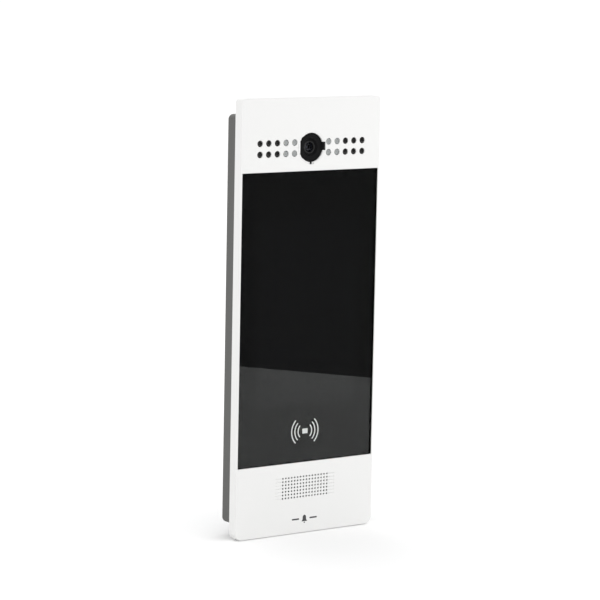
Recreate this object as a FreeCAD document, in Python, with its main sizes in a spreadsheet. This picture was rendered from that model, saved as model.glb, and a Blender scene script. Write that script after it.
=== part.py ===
"""A wall-mounted video door station, as a parametric document: every piece is its own object.

The frame: +Z is up, +X is to the right of a person who faces the unit, and the front looks along -Y.
The origin lies on the wall plane, level with the middle of the front panel. All lengths are in mm.
A "depth" is a distance in front of the wall, so a point at depth d has Y = -d.
"""

import FreeCAD, Part
import math
import os
import re

import Sketcher

DIMENSIONS = [
    # The front panel, a painted aluminium tray that opens to the rear.
    ("panel_width", 137.0),
    ("panel_height", 360.0),
    ("panel_front", 32.0),  # depth of the front plane: the unit's whole thickness
    ("panel_rim_back", 23.0),  # depth where the side walls end
    ("panel_step", 26.0),  # depth of the step that the rear housing's seal meets
    ("panel_face_back", 29.0),  # depth of the rear of the 3 mm front face
    ("panel_wall", 2.2),
    ("panel_top_corner", 3.5),
    ("panel_bottom_corner", 6.5),
    ("panel_edge_chamfer", 0.4),
    ("border_opening_top", 161.0),
    ("border_opening_bottom", -165.0),
    ("boss_inner", 52.0),  # the bosses that the display's bracket is screwed to
    ("boss_outer", 60.0),
    ("boss_post_outer", 58.0),
    ("boss_up", 105.0),
    ("boss_height", 10.0),
    ("housing_screw_across", 63.6),
    ("bracket_screw_across", 55.0),
    ("tapped_radius", 1.25),
    ("clearance_radius", 1.4),
    # The cover glass and what lies behind it.
    ("glass_pocket_width", 134.0),
    ("glass_pocket_height", 241.0),
    ("glass_gap", 0.25),
    ("glass_back", 30.2),
    ("glass_seat", 30.0),
    ("display_opening_width", 119.0),
    ("display_opening_height", 226.0),
    ("screen_width", 104.0),
    ("screen_height", 164.0),
    ("screen_centre", 4.85),
    ("screen_rear", 27.1),
    ("screen_front", 29.5),
    ("touch_rear", 29.7),
    ("touch_half_width", 56.0),
    ("touch_height", 172.0),
    ("tray_margin", 1.5),
    ("tray_gap", 0.3),
    ("tray_front", 29.2),
    ("bracket_front", 24.6),  # depth of the front of the display's steel bracket
    ("bracket_thickness", 1.0),
    ("bracket_half_width", 57.5),
    ("bracket_half_height", 112.0),
    ("cable_hole_radius", 6.0),
    ("flex_width", 18.0),
    ("flex_thickness", 0.3),
    ("flex_rear", 19.4),
    ("flex_front", 26.2),
    ("flex_top", -79.5),
    ("flex_fold", -113.6),
    ("flex_end", -86.0),
    # Boards behind the glass.
    ("eye_rear", 28.9),
    ("eye_front", 30.1),
    ("eye_board_rear", 28.1),
    ("eye_board_half_width", 38.0),
    ("eye_height", 109.0),
    ("eye_across", 30.0),
    ("aerial_half_width", 48.0),
    ("aerial_height", -98.0),
    ("aerial_tall", 28.0),
    ("aerial_rear", 29.1),
    # The camera and the lamps beside it.
    ("camera_height", 139.4),
    ("camera_hole_radius", 12.0),
    ("camera_rim_radius", 13.7),
    ("camera_bevel_depth", 0.7),
    ("camera_plug_radius", 11.85),
    ("camera_flat", 11.35),  # how far left of the axis the hole's keying flat stands
    ("camera_flat_height", 9.0),
    ("camera_key_end", 13.6),
    ("camera_key_start", 11.2),
    ("side_key_up", 0.9),
    ("side_key_height", 6.6),
    ("low_key_width", 1.4),
    ("low_relief_width", 4.8),  # shallow relief round the lower key
    ("side_relief_across", 9.9),  # shallow relief left of the hole, which shows only at its corners
    ("side_relief_height", 17.6),
    ("relief_depth", 0.5),
    ("key_gap", 0.15),
    ("key_front", 31.2),
    ("bezel_flange_radius", 14.2),
    ("bezel_rear", 25.0),
    ("bezel_front", 30.2),
    ("bezel_dish", 29.8),
    ("bezel_step", 1.3),  # how far the bezel steps down round the lens ring
    ("bezel_throat", 5.7),
    ("ring_bore", 3.8),
    ("ring_radius", 5.5),
    ("ring_front", 28.7),
    ("lens_radius", 3.7),
    ("lens_front", 28.4),
    ("lens_curve", 6.4),
    ("barrel_rear", 12.0),
    ("sensor_board_size", 28.0),
    ("sensor_board_thickness", 1.2),
    ("lamp_row_pitch", 8.9),
    ("lamp_pitch", 8.4),
    ("first_lamp", 16.8),
    ("lamp_hole_radius", 2.7),
    ("lamp_radius", 2.5),
    ("lamp_length", 8.9),
    ("lamp_curve", 5.0),  # radius of a lamp's flat dome
    ("lamp_board_rear", 21.4),
    ("lamp_board_front", 23.0),
    ("lamp_board_half_width", 55.0),
    ("lamp_board_height", 36.0),
    ("lamp_screw_across", 53.0),
    ("baffle_height", 34.0),
    # The loudspeaker.
    ("speaker_height", -141.05),
    ("grille_pitch_across", 2.95),
    ("grille_pitch_up", 2.8),
    ("grille_hole_radius", 0.8),
    ("vent_pitch", 2.1),
    ("vent_hole_radius", 0.3),
    ("grille_skin", 0.8),  # thickness of the front where the holes are
    ("grille_recess_width", 68.0),
    ("grille_recess_height", 23.0),
    ("mesh_thickness", 0.3),
    ("basket_half_width", 23.4),
    ("basket_height", 42.0),
    ("basket_front", 27.2),
    ("basket_rim_rear", 26.0),
    ("basket_rear", 19.0),
    ("basket_radius", 18.0),
    ("cone_hole_radius", 17.0),
    ("magnet_radius", 12.5),
    ("magnet_rear", 10.5),
    ("microphone_across", -28.8),
    ("microphone_radius", 3.0),
    # The rear housing, a dark shell narrower than the panel.
    ("housing_half_width", 61.0),
    ("housing_top", 166.0),
    ("housing_bottom", -170.5),
    ("housing_wall", 2.5),
    ("housing_back", 0.3),  # depth of the skirt's rear edge, just clear of the wall
    ("back_wall_rear", 7.0),
    ("back_wall_front", 9.5),
    ("flange_rear", 23.3),
    ("flange_front", 25.3),
    ("housing_corner", 4.5),
    ("flange_half_width", 66.0),
    ("flange_half_height", 177.3),
    ("seal_inset", 0.4),
    ("seal_overhang", 1.2),
    ("hook_slot_gap", 0.6),
    ("security_hole_radius", 1.6),
    ("bay_half_width", 40.0),
    ("bay_top", -42.0),
    ("bay_bottom", -102.0),
    # The circuit board and its fixings.
    ("board_rear", 16.0),
    ("board_thickness", 1.6),
    ("board_half_width", 49.5),
    ("board_top", 72.0),
    ("board_bottom", -108.0),
    ("board_screw_across", 45.5),
    ("board_screw_margin", 5.0),
    ("board_boss_radius", 3.0),
    ("chip_front", 19.4),
    ("shield_size", 40.0),
    ("shield_left", -38.0),
    ("shield_bottom", -40.0),
    ("shield_front", 20.8),
    ("shield_sheet", 0.3),
    ("relay_rear", 10.2),
    ("capacitor_radius", 3.15),
    ("capacitor_height", 6.0),
    # The wiring bay's liner, and the sockets that face down into the bay.
    ("liner_rear", 9.5),
    ("liner_lip_front", 10.7),
    ("liner_floor_rear", 13.0),
    ("liner_floor_front", 14.0),
    ("liner_lip", 1.4),
    ("liner_gap", 0.2),
    ("liner_wall", 1.5),
    ("socket_gap", 0.3),
    ("sockets_bottom", -67.0),
    ("sockets_top", -51.5),
    ("jack_left", -36.0),
    ("jack_right", -20.0),
    ("jack_rear", 4.6),
    ("strip_start", -12.0),
    ("strip_width", 19.0),
    ("strip_gap", 2.0),
    ("strip_rear", 6.6),
    ("entry_pitch", 3.5),
    ("entry_margin", 1.05),
    ("entry_size", 2.6),
    ("driver_radius", 1.2),
    # The wall bracket, its hooks and its screws.
    ("plate_thickness", 1.5),
    ("plate_half_width", 54.0),
    ("plate_top", 150.0),
    ("plate_bottom", -158.0),
    ("wall_hole_radius", 2.3),
    ("wall_hole_across", 80.0),
    ("wall_hole_up", 250.0),
    ("box_hole_across", 60.3),
    ("hook_lift", 7.0),  # how far the unit is lifted to clear its hooks
    ("hook_across", 40.0),
    ("upper_hook", 96.0),
    ("lower_hook", -112.0),
    ("hook_width", 10.0),
    ("security_across", 30.0),
    ("security_depth", 4.1),
    ("cable_opening_half_width", 32.0),
    ("cable_opening_bottom", -97.0),
    ("cable_opening_top", -47.0),
    ("edge_front", 4.0),
    ("rib_across", 18.0),  # two pressed ribs stiffen the plate
    ("rib_width", 8.0),
    ("rib_height", 0.8),
    ("rib_bottom", -22.0),
    ("rib_top", 118.0),
    ("pad_radius", 5.0),  # pressed pad that the plunger's tip meets, as high as the ribs
    ("edge_end_gap", 12.0),
    ("hook_front", 11.1),
    ("hook_lip_rear", 9.9),
    ("hook_lip_height", 5.0),
    ("tab_front", 6.7),
    ("tab_width", 13.0),
    ("tab_hole_radius", 1.85),
    # The plunger that senses the bracket, and the reset button.
    ("tamper_across", -30.0),
    ("plunger_radius", 2.5),
    ("plunger_fit", 0.05),
    ("plunger_tip", 2.5),  # depth of the plunger's tip, just clear of the bracket's pressed pad
    ("plunger_collar_rear", 9.6),
    ("plunger_collar_front", 10.4),
    ("plunger_end", 13.4),
    ("switch_rear", 13.3),
    ("switch_size", 9.0),
    ("spring_rear", 10.7),
    ("spring_height", 2.2),
    ("spring_radius", 2.1),
    ("wire_radius", 0.22),
    ("reset_across", 34.0),
    ("reset_height", -52.0),
    ("reset_radius", 2.1),
    ("reset_neck", 1.5),
    ("reset_rear", 8.0),
    ("reset_shoulder", 12.4),
    ("reset_switch_rear", 14.75),
    ("reset_switch_size", 6.0),
]
ALIASES = {alias for alias, _ in DIMENSIONS}
PIECES = {}


def linked(formula):
    """The formula with each dimension's name pointed at the spreadsheet."""

    def point(match):
        return "Sizes." + match[0] if match[0] in ALIASES else match[0]

    return re.sub(r"[a-z_]+", point, str(formula))


def bind(thing, path, formula):
    """Drives one property of an object from the spreadsheet."""
    thing.setExpression(path, linked(formula))


def keep(label, thing):
    """Gives a finished sub-part the name that its node and file carry."""
    thing.Label = label
    PIECES[label] = thing
    return thing


def make_document():
    """A new document whose spreadsheet holds every driving dimension."""
    document = FreeCAD.newDocument("door_station")
    sheet = document.addObject("Spreadsheet::Sheet", "Sizes")
    for row, (alias, value) in enumerate(DIMENSIONS, start=1):
        sheet.set("A%d" % row, alias)
        sheet.set("B%d" % row, str(value))
        sheet.setAlias("B%d" % row, alias)
    document.recompute()
    return document


# ---- Sketches -------------------------------------------------------------------------------


def new_sketch(body, name, role="XZ_Plane", offset="0"):
    """A sketch on one of the body's own origin planes; on XZ the offset is the depth."""
    plane = next(f for f in body.Origin.OriginFeatures if f.Role == role)
    sketch = body.newObject("Sketcher::SketchObject", name)
    sketch.AttachmentSupport = [(plane, "")]
    sketch.MapMode = "FlatFace"
    bind(sketch, "AttachmentOffset.Base.z", offset)
    return sketch


def pin_point(sketch, geometry, position, point):
    """Fixes a point of a sketch at its two driven distances from the sketch's origin."""
    for kind, formula in zip(("DistanceX", "DistanceY"), point):
        index = sketch.addConstraint(Sketcher.Constraint(kind, -1, 1, geometry, position, 1.0))
        bind(sketch, "Constraints[%d]" % index, formula)


def add_outline(sketch, points):
    """A closed outline of straight edges through the points, which are pairs of formulas."""
    first = sketch.GeometryCount
    count = len(points)
    start = [2 * math.pi * i / count for i in range(count)]
    corners = [FreeCAD.Vector(math.cos(a), math.sin(a), 0) for a in start]
    for i in range(count):
        sketch.addGeometry(Part.LineSegment(corners[i], corners[(i + 1) % count]))
    for i in range(count):
        following = first + (i + 1) % count
        sketch.addConstraint(Sketcher.Constraint("Coincident", first + i, 2, following, 1))
        pin_point(sketch, first + i, 1, points[i])


def add_rectangle(sketch, left, right, low, high):
    """A rectangle between two limits across and two limits up."""
    add_outline(sketch, [(left, low), (right, low), (right, high), (left, high)])


def add_circle(sketch, radius, across="0", up="0"):
    """A circle whose radius and centre are driven."""
    circle = Part.Circle(FreeCAD.Vector(1, 1, 0), FreeCAD.Vector(0, 0, 1), 1)
    geometry = sketch.addGeometry(circle)
    index = sketch.addConstraint(Sketcher.Constraint("Radius", geometry, 1.0))
    bind(sketch, "Constraints[%d]" % index, radius)
    pin_point(sketch, geometry, 3, (across, up))


def mirrored(half_width):
    """The left and right limits of something centred on X = 0."""
    return "-(%s)" % half_width, half_width


def around(centre, size):
    """The two limits of a stretch of a given size round its centre."""
    return "%s - (%s) / 2" % (centre, size), "%s + (%s) / 2" % (centre, size)


# ---- Solids ---------------------------------------------------------------------------------


def new_body(document, label):
    """An empty PartDesign body that is a sub-part."""
    return keep(label, document.addObject("PartDesign::Body", label + "_body"))


def add_layer(body, name, rear, front, draw):
    """Pads one layer of a body between two depths; draw fills in its sketch."""
    sketch = new_sketch(body, name + "_sketch", offset=rear)
    draw(sketch)
    pad = body.newObject("PartDesign::Pad", name)
    pad.Profile = sketch
    bind(pad, "Length", "(%s) - (%s)" % (front, rear))
    return pad


def cut_layer(body, name, rear, front, draw):
    """Pockets a body between two depths, and makes sure that the cut took material away."""
    body.Document.recompute()
    before = body.Shape.Volume
    sketch = new_sketch(body, name + "_sketch", offset=front)
    draw(sketch)
    pocket = body.newObject("PartDesign::Pocket", name)
    pocket.Profile = sketch
    bind(pocket, "Length", "(%s) - (%s)" % (front, rear))
    body.Document.recompute()
    if not body.Shape.Volume < before:
        raise RuntimeError(name + " cuts nothing")
    return pocket


def plate(document, label, rear, front, draw):
    """A piece that is one padded layer."""
    body = new_body(document, label)
    add_layer(body, label + "_pad", rear, front, draw)
    return body


def turned(document, label, outline, across="0", up="0"):
    """A piece turned about an axis along Y; its outline is pairs of radius and depth."""
    body = new_body(document, label)
    bind(body, "Placement.Base.x", across)
    bind(body, "Placement.Base.z", up)
    sketch = new_sketch(body, label + "_outline", "XY_Plane")
    add_outline(sketch, [(radius, "-(%s)" % depth) for radius, depth in outline])
    spin = body.newObject("PartDesign::Revolution", label + "_turned")
    spin.Profile = sketch
    spin.ReferenceAxis = (sketch, ["V_Axis"])
    spin.Angle = 360
    return body


def block(document, name, x, depth, z):
    """A plain block between pairs of limits across, in depth and up."""
    box = document.addObject("Part::Box", name)
    limits = (("Length", "x", x), ("Width", "y", ("-(%s)" % depth[1], "-(%s)" % depth[0])))
    for size, axis, (low, high) in limits + (("Height", "z", z),):
        bind(box, size, "(%s) - (%s)" % (high, low))
        bind(box, "Placement.Base." + axis, low)
    return box


def rod(document, name, radius, rear, front, across="0", up="0"):
    """A cylinder along Y between two depths."""
    cylinder = document.addObject("Part::Cylinder", name)
    cylinder.Placement.Rotation = FreeCAD.Rotation(FreeCAD.Vector(1, 0, 0), 90)
    bind(cylinder, "Radius", radius)
    bind(cylinder, "Height", "(%s) - (%s)" % (front, rear))
    for axis, formula in (("x", across), ("y", "-(%s)" % rear), ("z", up)):
        bind(cylinder, "Placement.Base." + axis, formula)
    return cylinder


def joined(document, name, things):
    """The union of several solids."""
    fuse = document.addObject("Part::MultiFuse", name)
    fuse.Shapes = things
    return fuse


def without(document, name, base, tools):
    """A solid less one or more others."""
    cut = document.addObject("Part::Cut", name)
    cut.Base = base
    cut.Tool = tools[0] if len(tools) == 1 else joined(document, name + "_tools", tools)
    return cut


def copies(document, label, master, places):
    """One node that holds the same solid at each place (across, depth, up)."""
    links = []
    for number, (across, depth, up) in enumerate(places, start=1):
        link = document.addObject("App::Link", "%s_%d" % (label, number))
        link.LinkedObject = master
        link.Placement = master.Placement
        for axis, formula in (("x", across), ("y", "-(%s)" % depth), ("z", up)):
            bind(link, "Placement.Base." + axis, formula)
        links.append(link)
    group = document.addObject("Part::Compound", label + "_group")
    group.Links = links
    return keep(label, group)


def screw_master(document, name, radius, length, head_radius, head_height, turn):
    """A socket-head screw whose head starts at its origin and whose tip points along the turned Z."""
    head = document.addObject("Part::Cylinder", name + "_head")
    shank = document.addObject("Part::Cylinder", name + "_shank")
    socket = document.addObject("Part::Prism", name + "_socket")
    sizes = (
        (head, "Radius", head_radius),
        (head, "Height", head_height),
        (shank, "Radius", radius),
        (shank, "Height", "%s + %s" % (head_height, length)),
        (socket, "Circumradius", "%s * 0.8" % radius),
        (socket, "Height", "%s * 0.6" % head_height),
    )
    for thing, path, formula in sizes:
        bind(thing, path, formula)
    socket.Polygon = 6
    screw = without(document, name, joined(document, name + "_solid", [head, shank]), [socket])
    screw.Placement.Rotation = turn
    return screw


TIP_FORWARD = FreeCAD.Rotation(FreeCAD.Vector(1, 0, 0), 90)
TIP_REARWARD = FreeCAD.Rotation(FreeCAD.Vector(1, 0, 0), -90)
TIP_UP = FreeCAD.Rotation()


def both_sides(across, ups):
    """Every place with that distance left and right of the middle, at each height."""
    return [(side % across, up) for up in ups for side in ("-(%s)", "%s")]


# ---- Edges ----------------------------------------------------------------------------------


def upright_edges(shape, wanted):
    """The names of the straight edges along Y whose middle passes the test."""
    names = []
    for number, edge in enumerate(shape.Edges, start=1):
        ends = [vertex.Point for vertex in edge.Vertexes]
        if len(ends) == 2 and (ends[1] - ends[0]).cross(FreeCAD.Vector(0, 1, 0)).Length < 1e-6:
            if wanted((ends[0] + ends[1]) / 2):
                names.append("Edge%d" % number)
    return names


def round_edges(body, name, radius, wanted):
    """Rounds the body's edges along Y whose middle passes the test."""
    body.Document.recompute()
    base = body.Tip
    fillet = body.newObject("PartDesign::Fillet", name)
    fillet.Base = (base, upright_edges(base.Shape, wanted))
    bind(fillet, "Radius", radius)
    body.Document.recompute()


# ---- Front panel and glass ------------------------------------------------------------------


def lamp_places(columns):
    """Across and up formulas of the lamps in the given columns, counted from the camera outwards."""
    rows = ["camera_height + lamp_row_pitch / 2", "camera_height - lamp_row_pitch / 2"]
    return [place for n in columns for place in both_sides("first_lamp + %d * lamp_pitch" % n, rows)]


ALL_LAMPS = range(5)
WHITE_LAMPS = range(2)
INFRARED_LAMPS = range(2, 5)


def front_panel(document):
    """The painted aluminium front: a tray with openings for glass, camera, lamps and sound."""
    body = new_body(document, "front_panel")
    half, tall = "panel_width / 2", "panel_height / 2"
    inner, inner_tall = half + " - panel_wall", tall + " - panel_wall"

    def rim(sketch):
        add_rectangle(sketch, *mirrored(half), *mirrored(tall))
        add_rectangle(sketch, *mirrored(inner), *mirrored(inner_tall))

    def step(sketch):
        add_rectangle(sketch, *mirrored(half), *mirrored(tall))
        opening = mirrored("display_opening_width / 2")
        add_rectangle(sketch, *opening, "border_opening_bottom", "border_opening_top")

    def face(sketch):
        add_rectangle(sketch, *mirrored(half), *mirrored(tall))
        opening = mirrored("display_opening_width / 2")
        add_rectangle(sketch, *opening, *mirrored("display_opening_height / 2"))
        for across, up in lamp_places(ALL_LAMPS):
            add_circle(sketch, "lamp_hole_radius", across, up)

    add_layer(body, "panel_rim", "panel_rim_back", "panel_step", rim)
    add_layer(body, "panel_border", "panel_step", "panel_face_back", step)
    add_layer(body, "panel_face", "panel_face_back", "panel_front", face)
    # The bosses are narrower where they stand inside the rear housing's flange.
    add_layer(body, "boss_roots", "panel_step", "panel_face_back", draw_bosses("boss_outer"))
    add_layer(body, "boss_posts", "bracket_front", "panel_step", draw_bosses("boss_post_outer"))
    # Fillets come before the pockets, while the only tall corners are the panel's own.
    for name, radius, sign in (
        ("top_corners", "panel_top_corner", 1),
        ("bottom_corners", "panel_bottom_corner", -1),
    ):
        round_edges(body, name, radius, lambda p, s=sign: abs(p.x) > 68 and p.z * s > 178)
    cut_layer(body, "glass_pocket", "glass_seat", "panel_front", draw_glass_pocket)
    cut_camera_hole(body)
    cut_grille(body)
    cut_blind_holes(body)
    chamfer_front(body)
    return body


def draw_bosses(outer):
    """Four blocks on the border's inner side, which the display's bracket is screwed to."""

    def draw(sketch):
        for across in (("-" + outer, "-boss_inner"), ("boss_inner", outer)):
            for up in ("boss_up", "-boss_up"):
                add_rectangle(sketch, *across, *around(up, "boss_height"))

    return draw


def draw_glass_pocket(sketch):
    """The shallow pocket that the cover glass lies in."""
    wide, tall = mirrored("glass_pocket_width / 2"), mirrored("glass_pocket_height / 2")
    add_rectangle(sketch, *wide, *tall)


def draw_camera_notches(sketch):
    """The notches for the two keys of the camera's bezel: right and below."""
    near, far = "camera_hole_radius - 2", "camera_key_end + key_gap"
    up = "camera_height + side_key_up"
    add_rectangle(sketch, near, far, *around(up, "side_key_height + 2 * key_gap"))
    low, high = "camera_height - (%s)" % far, "camera_height - (%s)" % near
    add_rectangle(sketch, *mirrored("low_key_width / 2 + key_gap"), low, high)


def draw_low_relief(sketch):
    """The shallow relief round the lower key."""
    low, high = "camera_height - camera_key_end - key_gap", "camera_height - camera_hole_radius + 1"
    add_rectangle(sketch, *mirrored("low_relief_width / 2"), low, high)


def draw_side_relief(sketch):
    """The shallow relief whose corners peep out left of the camera's hole."""
    across = ("-side_relief_across", "-side_relief_across + 3")
    add_rectangle(sketch, *across, *around("camera_height", "side_relief_height"))


def cut_camera_hole(body):
    """The camera's hole with its wide front bevel, keying flat, notches and shallow reliefs."""

    def hole(sketch):
        add_circle(sketch, "camera_hole_radius", "0", "camera_height")

    def flat(sketch):
        across = ("-camera_hole_radius - 1", "-camera_flat")
        add_rectangle(sketch, *across, *around("camera_height", "camera_flat_height"))

    cut_layer(body, "camera_hole", "panel_face_back", "panel_front", hole)
    sketch = new_sketch(body, "camera_bevel_sketch", "YZ_Plane")
    far, near = "camera_rim_radius", "camera_hole_radius"
    deep = "-(panel_front - camera_bevel_depth)"
    rim = ["camera_height + %s" % radius for radius in (near, far)]
    add_outline(sketch, [(deep, rim[0]), ("-panel_front", rim[0]), ("-panel_front", rim[1])])
    axis = sketch.addGeometry(Part.LineSegment(FreeCAD.Vector(-2, 1, 0), FreeCAD.Vector(2, 1, 0)), True)
    pin_point(sketch, axis, 1, ("-panel_front", "camera_height"))
    pin_point(sketch, axis, 2, ("0", "camera_height"))
    groove = body.newObject("PartDesign::Groove", "camera_bevel")
    groove.Profile = sketch
    groove.ReferenceAxis = (sketch, ["Axis0"])
    groove.Angle = 360
    add_layer(body, "camera_flat_pad", "panel_face_back", "panel_front", flat)
    cut_layer(body, "camera_notches", "panel_face_back", "panel_front", draw_camera_notches)
    relief = "panel_front - camera_bevel_depth - relief_depth"
    cut_layer(body, "low_relief", relief, "panel_front", draw_low_relief)
    cut_layer(body, "side_relief", relief, "panel_front", draw_side_relief)


GRILLE_ROWS = range(-3, 4)
VENT_COLUMNS = 3


def cut_grille(body):
    """A recess behind the front, sixteen columns of seven sound holes, and fine vents at each side."""

    def recess(sketch):
        wide = mirrored("grille_recess_width / 2")
        add_rectangle(sketch, *wide, *around("speaker_height", "grille_recess_height"))

    def column(sketch):
        for row in GRILLE_ROWS:
            up = "speaker_height + %d * grille_pitch_up" % row
            add_circle(sketch, "grille_hole_radius", "-7.5 * grille_pitch_across", up)

    def vents(sketch):
        for across, _ in both_sides("7.5 * grille_pitch_across + 1.2 * vent_pitch", [0]):
            for row in GRILLE_ROWS:
                up = "speaker_height + %d * grille_pitch_up" % row
                for step in range(VENT_COLUMNS):
                    shift = "%s %s %d * vent_pitch" % (across, "-" if across[0] == "-" else "+", step)
                    add_circle(sketch, "vent_hole_radius", shift, up)

    skin_rear = "panel_front - grille_skin"
    cut_layer(body, "grille_recess", "panel_face_back", skin_rear, recess)
    pocket = cut_layer(body, "sound_holes", skin_rear, "panel_front", column)
    pattern = body.newObject("PartDesign::LinearPattern", "sound_hole_columns")
    pattern.Originals = [pocket]
    pattern.Direction = (pocket.Profile[0], ["H_Axis"])
    bind(pattern, "Length", "15 * grille_pitch_across")
    pattern.Occurrences = 16
    body.Tip = pattern
    cut_layer(body, "vents", skin_rear, "panel_front", vents)


HOUSING_SCREWS = both_sides("housing_screw_across", ["-160", "-54", "54", "156"])
BRACKET_SCREWS = both_sides("bracket_screw_across", ["boss_up", "-boss_up"])
BOARD_SCREWS = both_sides(
    "board_screw_across", ["board_top - board_screw_margin", "board_bottom + board_screw_margin"]
)


def cut_blind_holes(body):
    """The tapped holes for the housing's screws and the display bracket's screws."""

    def tapped(places):
        def draw(sketch):
            for across, up in places:
                add_circle(sketch, "tapped_radius", across, up)

        return draw

    deep = "panel_face_back - 0.5"
    cut_layer(body, "housing_screw_holes", "panel_step - 0.1", deep, tapped(HOUSING_SCREWS))
    cut_layer(body, "bracket_screw_holes", "bracket_front - 0.1", deep, tapped(BRACKET_SCREWS))


def chamfer_front(body):
    """Breaks the sharp outer edge of the front face."""
    base = body.Tip
    front = min(edge.BoundBox.YMin for edge in base.Shape.Edges)
    outer = []
    for number, edge in enumerate(base.Shape.Edges, start=1):
        box = edge.BoundBox
        flat = abs(box.YMax - front) < 1e-6 and abs(box.YMin - front) < 1e-6
        if flat and (max(abs(box.XMin), abs(box.XMax)) > 68.4 or max(abs(box.ZMin), abs(box.ZMax)) > 179.9):
            outer.append("Edge%d" % number)
    chamfer = body.newObject("PartDesign::Chamfer", "front_edge")
    chamfer.Base = (base, outer)
    bind(chamfer, "Size", "panel_edge_chamfer")


def glass_and_touch(document):
    """The cover glass, the tape that holds it and the touch layer on its rear."""

    def glass(sketch):
        wide = mirrored("glass_pocket_width / 2 - glass_gap")
        add_rectangle(sketch, *wide, *mirrored("glass_pocket_height / 2 - glass_gap"))

    def tape(sketch):
        wide = mirrored("glass_pocket_width / 2 - 1")
        add_rectangle(sketch, *wide, *mirrored("glass_pocket_height / 2 - 1"))
        opening = mirrored("display_opening_width / 2 + 0.5")
        add_rectangle(sketch, *opening, *mirrored("display_opening_height / 2 + 0.5"))

    def touch(sketch):
        add_rectangle(sketch, *mirrored("touch_half_width"), *around("screen_centre", "touch_height"))

    body = plate(document, "cover_glass", "glass_back", "panel_front", glass)
    round_edges(body, "glass_corners", "1", lambda point: True)
    plate(document, "glass_adhesive", "glass_seat", "glass_back", tape)
    plate(document, "touch_sensor", "touch_rear", "glass_back", touch)


def display(document):
    """The liquid-crystal panel, its lit tray, the flexible cable and the steel bracket."""

    def tray_outline(sketch, margin):
        wide = mirrored("screen_width / 2 + %s" % margin)
        add_rectangle(sketch, *wide, *around("screen_centre", "screen_height + 2 * %s" % margin))

    def tray_lip(sketch):
        for margin in ("tray_margin", "tray_gap"):
            tray_outline(sketch, margin)

    def bracket(sketch):
        add_rectangle(sketch, *mirrored("bracket_half_width"), *mirrored("bracket_half_height"))
        for across, up in BRACKET_SCREWS:
            add_circle(sketch, "clearance_radius", across, up)
        for across, up in both_sides("30", ["-96"]):
            add_circle(sketch, "cable_hole_radius", across, up)

    plate(document, "lcd_panel", "screen_rear", "screen_front", lambda sketch: tray_outline(sketch, "0"))
    tray = plate(
        document,
        "lcd_backlight_frame",
        "bracket_front",
        "screen_rear",
        lambda sketch: tray_outline(sketch, "tray_margin"),
    )
    add_layer(tray, "backlight_lip", "screen_rear", "tray_front", tray_lip)
    steel = plate(document, "lcd_bracket", "bracket_front - bracket_thickness", "bracket_front", bracket)
    round_edges(steel, "bracket_corners", "3", lambda p: abs(p.x) > 57 and abs(p.z) > 111)
    display_cable(document)


def display_cable(document):
    """A flat flexible cable that folds from the display's lower edge back to the circuit board."""
    body = new_body(document, "display_flex_cable")
    sketch = new_sketch(body, "flex_outline", "YZ_Plane", "-flex_width / 2")
    front, rear, fold = "-flex_front", "-flex_rear", "flex_fold"
    outer = [(front, "flex_top"), (front, fold), (rear, fold), (rear, "flex_end")]
    front, rear = "-(flex_front - flex_thickness)", "-(flex_rear + flex_thickness)"
    fold = "flex_fold + flex_thickness"
    inner = [(rear, "flex_end"), (rear, fold), (front, fold), (front, "flex_top")]
    add_outline(sketch, outer + inner)
    pad = body.newObject("PartDesign::Pad", "flex_pad")
    pad.Profile = sketch
    bind(pad, "Length", "flex_width")


# ---- Camera and lamps -----------------------------------------------------------------------


def camera_bezel(document):
    """The black ring round the lens: a dished face, a flange behind the panel, a flat and two keys."""
    plug, flange, throat = "camera_plug_radius", "bezel_flange_radius", "bezel_throat"
    outline = [(throat, "bezel_rear"), (flange, "bezel_rear"), (flange, "panel_face_back")]
    outline += [(plug, "panel_face_back"), (plug, "bezel_front"), ("11", "bezel_front")]
    outline += [("10.6", "bezel_dish"), ("7.2", "bezel_dish")]
    outline += [("6.4", "bezel_dish - bezel_step"), (throat, "bezel_dish - bezel_step")]
    bezel = turned(document, "camera_bezel", outline, up="camera_height")

    def keys(sketch):
        start, end = "camera_key_start", "camera_key_end"
        add_rectangle(sketch, start, end, *around("side_key_up", "side_key_height"))
        add_rectangle(sketch, *mirrored("low_key_width / 2"), "-" + end, "-" + start)

    def flat(sketch):
        tall = around("0", "camera_flat_height + 2 * key_gap")
        add_rectangle(sketch, "-camera_plug_radius - 1", "-camera_flat + key_gap", *tall)

    add_layer(bezel, "bezel_keys", "panel_face_back", "key_front", keys)
    cut_layer(bezel, "bezel_flat", "panel_face_back", "bezel_front", flat)


def camera(document):
    """The bezel that keys into the panel, the lens and the barrel with its sensor board."""
    camera_bezel(document)
    up = "camera_height"
    ring = [("ring_bore", "bezel_rear"), ("ring_radius", "bezel_rear"), ("ring_radius", "ring_front - 0.3")]
    ring += [("ring_radius - 0.4", "ring_front"), ("ring_bore + 0.4", "ring_front")]
    ring += [("ring_bore", "ring_front - 0.8")]
    turned(document, "lens_ring", ring, up=up)
    lens = rod(document, "lens_blank", "lens_radius", "bezel_rear", "lens_front", up=up)
    ball = document.addObject("Part::Sphere", "lens_ball")
    bind(ball, "Radius", "lens_curve")
    bind(ball, "Placement.Base.y", "lens_curve - lens_front")
    bind(ball, "Placement.Base.z", up)
    dome = document.addObject("Part::Common", "lens_dome")
    dome.Base = lens
    dome.Tool = ball
    keep("front_lens", dome)
    barrel = [("0", "barrel_rear"), ("7", "barrel_rear"), ("7", "19"), ("6.3", "19.5")]
    turned(document, "camera_barrel", barrel + [("6.3", "bezel_rear"), ("0", "bezel_rear")], up=up)

    def sensor(sketch):
        add_rectangle(sketch, *mirrored("sensor_board_size / 2"), *around(up, "sensor_board_size"))
        for across, height in both_sides("11", ["camera_height - 11", "camera_height + 11"]):
            add_circle(sketch, "1.1", across, height)

    plate(document, "camera_sensor_board", "barrel_rear - sensor_board_thickness", "barrel_rear", sensor)


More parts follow.
